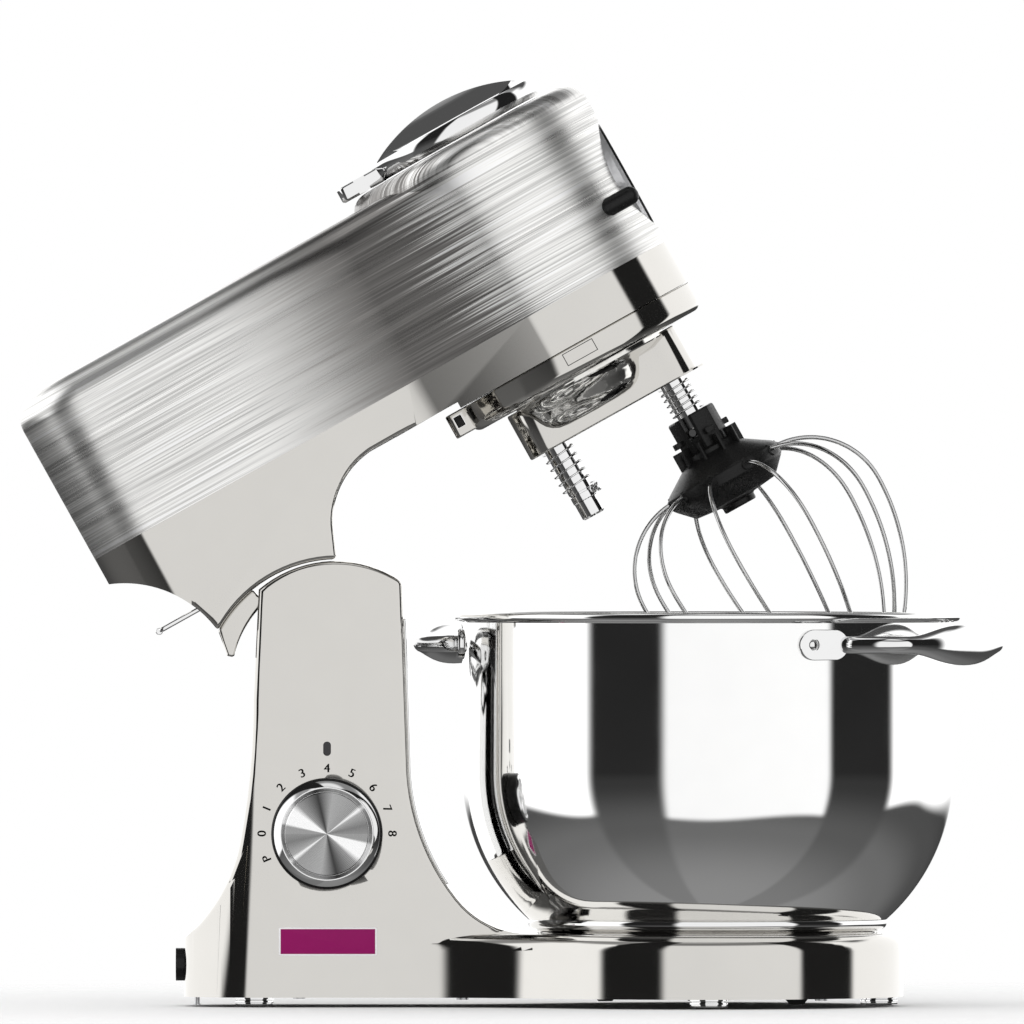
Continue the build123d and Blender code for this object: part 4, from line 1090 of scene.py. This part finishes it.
# %% Whisk hub
def hub():
    collar = turned([(6.6, -18), (11.8, -18), (12.5, -18.7), (12.5, -37), (6.6, -37)], sides=8,
                    ends="joined")
    soften(collar, 0.7, segments=2)
    cone = turned([(6.6, -36), (12.5, -36), (14.5, -37), (14.5, -39.2), (15.5, -40), (28.6, -48.6),
                   (30.4, -50.4), (30.4, -55.6), (29.2, -57.2), (22, -64.6), (9.2, -66), (8.6, -66.6),
                   (8.6, -69.0), (8.0, -69.5), (0.5, -69.5)], sides=80)
    soften(cone, 0.5, segments=2, angle=20)
    parts = [collar, cone]
    for k in range(10):
        rib = block((12, 30.0), (-1.1, 1.1), (-56.5, -49.2))
        soften(rib, 0.35, segments=2)
        web = block((12.4, 17.5), (-0.8, 0.8), (-44, -32))
        soften(web, 0.3, segments=2)
        boss = turned([(2.6, 0), (2.6, 4.0), (2.1, 4.5)], sides=20)
        place(boss, at(26.5, 0, -53.0, 90, "Y"))
        parts += [place(p, at(0, 0, 0, FIRST_LOOP + LOOP_STEP * k)) for p in (rib, web, boss)]
    for turn in (-70, 20, 110, 200):
        step = soften(block((11.0, 15.4), (-2.4, 2.4), (-30.5, -27.5)), 0.4, segments=2)
        parts.append(place(step, at(0, 0, 0, turn)))
    piece = join(parts)
    slot = place(block((5.5, 14), (-2.6, 2.6), (-29.4, -17)), at(0, 0, 0, -110))
    return cut(piece, slot)


fitted(hub(), BLACK, "whisk_hub_moulded", "whisk", ["whisk_hub"], WHISK)

# %% [markdown]
# ## Speed knob and its dial
# The knob is a chromed ring with a black skirt round a spun disc. Its numbers are printed on the
# column, so they are flat text turned into a mesh about a tenth of a millimetre thick, each one
# turned so that its foot points to the knob's centre.

# %% Knob
COLUMN_FACE = -44.0


def on_face(centre, proud=0.0):
    """Matrix of a place on the column's face, with Z out of the face."""
    return at(centre.x / MM, COLUMN_FACE - proud, centre.z / MM, 90, "X")


KNOB = on_face(KNOB_CENTRE)


def knob_ring():
    outline = [(3.1, 0.6), (25.8, 0.6), (25.8, 15.5), (22.95, 17.15), (22.75, 17.4), (22.3, 17.4),
               (22.1, 17.1), (20.9, 16.3), (20.6, 15.9), (3.1, 15.9)]
    return turned(outline, sides=128, ends="joined")


fitted(knob_ring(), CHROME, "knob_ring_turned", "knob", ["knob_ring"], KNOB)
skirt = turned([(25.7, 0.4), (27.0, 0.4), (27.2, 0.8), (27.2, 13.6), (27.0, 14.5), (26.4, 15.2),
                (25.8, 15.4)], sides=128, ends="open")
fitted(skirt, BLACK, "knob_skirt", "knob", (), KNOB)
disc = turned([(20.5, 15.6), (20.5, 17.0), (20.0, 17.4), (10, 17.35), (0.5, 17.3)], sides=128)
fitted(disc, SPUN, "knob_disc", "knob", ["knob_cap"], KNOB)


# %% Dial numbers
DIAL_STEP = 22.5
DIAL_RADIUS = 31.7


def number(text, turn):
    """One printed number at an angle about the knob, clockwise from the top."""
    let_go()
    bpy.ops.object.text_add()
    letter = bpy.context.object
    letter.data.body = text
    letter.data.align_x = "CENTER"
    letter.data.align_y = "CENTER"
    letter.data.size = 6.0 * MM
    letter.data.extrude = 0.06 * MM
    bpy.ops.object.convert(target="MESH")
    letter = bpy.context.object
    bolder = [place(copied(letter), at(step, 0, 0)) for step in (-0.16, 0.16)]
    spot = on_face(KNOB_CENTRE, 0.06) @ at(0, 0, 0, -turn) @ at(0, DIAL_RADIUS, 0)
    return place(join([letter] + bolder), spot)


marks = [number(text, DIAL_STEP * (k - 5)) for k, text in enumerate("P012345678")]
fitted(join(marks), INK, "dial_numbers", "stand")

# %% [markdown]
# ## Lamp, badge and buffers
# A small black lens covers the lamp above the dial. The badge at the foot of the column is left
# blank: a plum plate with a thin white border. Black rubber buffers show under the base.

# %% Lamp and badge
lens_piece = soften(plate((-1.9, 1.9), (-3.5, 3.5), 0, 0.7, 1.85, 12), 0.3)
lamp = Vector((KNOB_CENTRE.x, 0, 126 * MM))
fitted(lens_piece, LENS, "lamp_lens", "stand", ["indicator_lens"], on_face(lamp))
badge_piece = soften(plate((-24, 24), (-6.95, 6.95), 0, 1.2, 0.8, 6), 0.25, segments=2)
fitted(badge_piece, BADGE, "badge_blank", "stand", ["badge_plate"], on_face(BADGE_CENTRE))


# %% Buffers
def buffer(x, y):
    piece = block((-6, 6), (-6, 6), (1.4, 4.4))
    change(piece, "FACE", lambda f: f.normal.z < -0.9, bpy.ops.transform.resize,
           value=(0.58, 0.9, 1), center_override=(0, 0, 1.4 * MM))
    soften(piece, 0.4, segments=2)
    return place(piece, at(x, y, 0))


rubber = [buffer(*where) for where in ((-50, 30), (43, -50), (8, 60))]
fitted(join(rubber), RUBBER, "rubber_feet_stops", "stand", ["rubber_buffers"])

# %% [markdown]
# ## Studio
# Polished metal shows its surroundings more than itself, so a product studio is mostly white with
# two tall black cards beside the camera and a dim floor below. The world makes that by direction:
# one ramp round the horizon gives the cards, and a second by height gives floor and ceiling. A dark
# zone high behind the machine draws its upper edges. Only reflections see all this; the plain
# background stays white.

# %% World
def grey(tone):
    return (tone, tone, tone, 1)


def studio_world():
    studio = bpy.data.worlds.new("studio")
    bpy.context.scene.world = studio
    studio.use_nodes = True
    tree = studio.node_tree
    tree.nodes.clear()
    split = put(tree, "SeparateXYZ", {0: put(tree, "TexCoord").outputs["Generated"]})
    height = split.outputs["Z"]
    turn = calc(tree, "ARCTAN2", split.outputs["X"], calc(tree, "MULTIPLY", split.outputs["Y"], -1.0))
    around = spread(tree, turn, -math.pi, math.pi, soft=False)
    depth = spread(tree, height, -1.0, 0.0, soft=False)

    def ring(*stops):
        """Ramp round the horizon, in degrees from the camera."""
        return ramp(tree, around, stops, -180, 180)

    cards = ring((-180, 1.35), (-61, 1.3), (-53, 0.0), (-26, 0.0), (-18, 1.0), (57, 1.04),
                 (63, 0.0), (92, 0.0), (99, 1.3), (180, 1.35))
    black = ring((-60, 0.0), (-54, 1.0), (-25, 1.0), (-19, 0.0), (58, 0.0), (62, 1.0), (92, 1.0),
                 (99, 0.0))
    edge = ring((-180, 0.03), (-124, 0.16), (-60, 0.38), (0, 0.47), (60, 0.38), (124, 0.16),
                (180, 0.03))
    behind = ring((-180, 1.0), (-128, 1.0), (-105, 0.0), (105, 0.0), (128, 1.0), (180, 1.0))
    lit = spread(tree, calc(tree, "ADD", height, edge), -0.03, 0.03)
    ceiling = ramp(tree, height, [(0.0, 1.0), (0.66, 1.0), (0.76, 0.32), (0.80, 0.26), (0.89, 0.26),
                                  (0.95, 0.9), (1.0, 0.7)])
    high_back = calc(tree, "MULTIPLY", behind, spread(tree, height, 0.50, 0.62))
    floor = ramp(tree, depth, [(0.0, 0.26), (0.45, 0.15), (0.75, 0.075), (1.0, 0.045)])
    low_card = ramp(tree, depth, [(0.0, 0.20), (0.5, 0.10), (0.9, 0.035), (1.0, 0.017)])
    white = mixed(tree, 1.0, cards, ceiling, "MULTIPLY")
    card = mixed(tree, spread(tree, height, -0.03, 0.01), low_card, grey(0.016))
    upper = mixed(tree, high_back, white, grey(0.09))
    below = mixed(tree, black, floor, low_card)
    whole = mixed(tree, lit, below, mixed(tree, black, upper, card))
    glossy = put(tree, "LightPath").outputs["Is Glossy Ray"]
    put(tree, "OutputWorld", {0: put(tree, "Background", {0: mixed(tree, glossy, grey(1), whole)})})


studio_world()


# %% Floor, light and camera
def floor_material():
    """Pale floor that fades into the background."""
    made, shader, tree, place_of = new_material("pale_floor", (0.93, 0.93, 0.93), roughness=0.9)
    centred = put(tree, "Mapping", {"Vector": place_of, "Location": (0.05, 0, 0)})
    reach = put(tree, "VectorMath", {0: centred}, operation="LENGTH").outputs["Value"]
    fade = put(tree, "MixShader", {0: spread(tree, reach, 0.25, 0.75), 1: shader,
                                   2: put(tree, "BsdfTransparent")})
    feed(tree.nodes["Material Output"], {0: fade})
    return made


let_go()
bpy.ops.mesh.primitive_circle_add(vertices=96, radius=0.8, fill_type="NGON",
                                  location=(-0.05, 0, -0.0004))
floor = bpy.context.object
bpy.ops.object.transform_apply(location=True)
floor.name = "floor"
floor.visible_glossy = False
paint(floor, floor_material())

bpy.ops.object.light_add(type="AREA", location=(-0.6, -1.2, 1.9), rotation=(0.55, -0.3, 0))
softbox = bpy.context.object
softbox.data.size = 1.6
softbox.data.energy = 6
softbox.visible_glossy = False

VIEW_WIDTH = 0.5018
FOCAL_LENGTH = 900.0
SENSOR = 36
bpy.ops.object.camera_add(location=(-0.0958, -VIEW_WIDTH * FOCAL_LENGTH / SENSOR, 0.2416),
                          rotation=(math.pi / 2, 0, 0))
camera = bpy.context.object
camera.data.lens = FOCAL_LENGTH
camera.data.sensor_width = SENSOR
camera.data.clip_end = 60
bpy.context.scene.camera = camera
bpy.context.scene.view_settings.view_transform = "Standard"
print("camera", [round(x, 3) for x in camera.location])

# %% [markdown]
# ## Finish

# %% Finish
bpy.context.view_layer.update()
let_go()
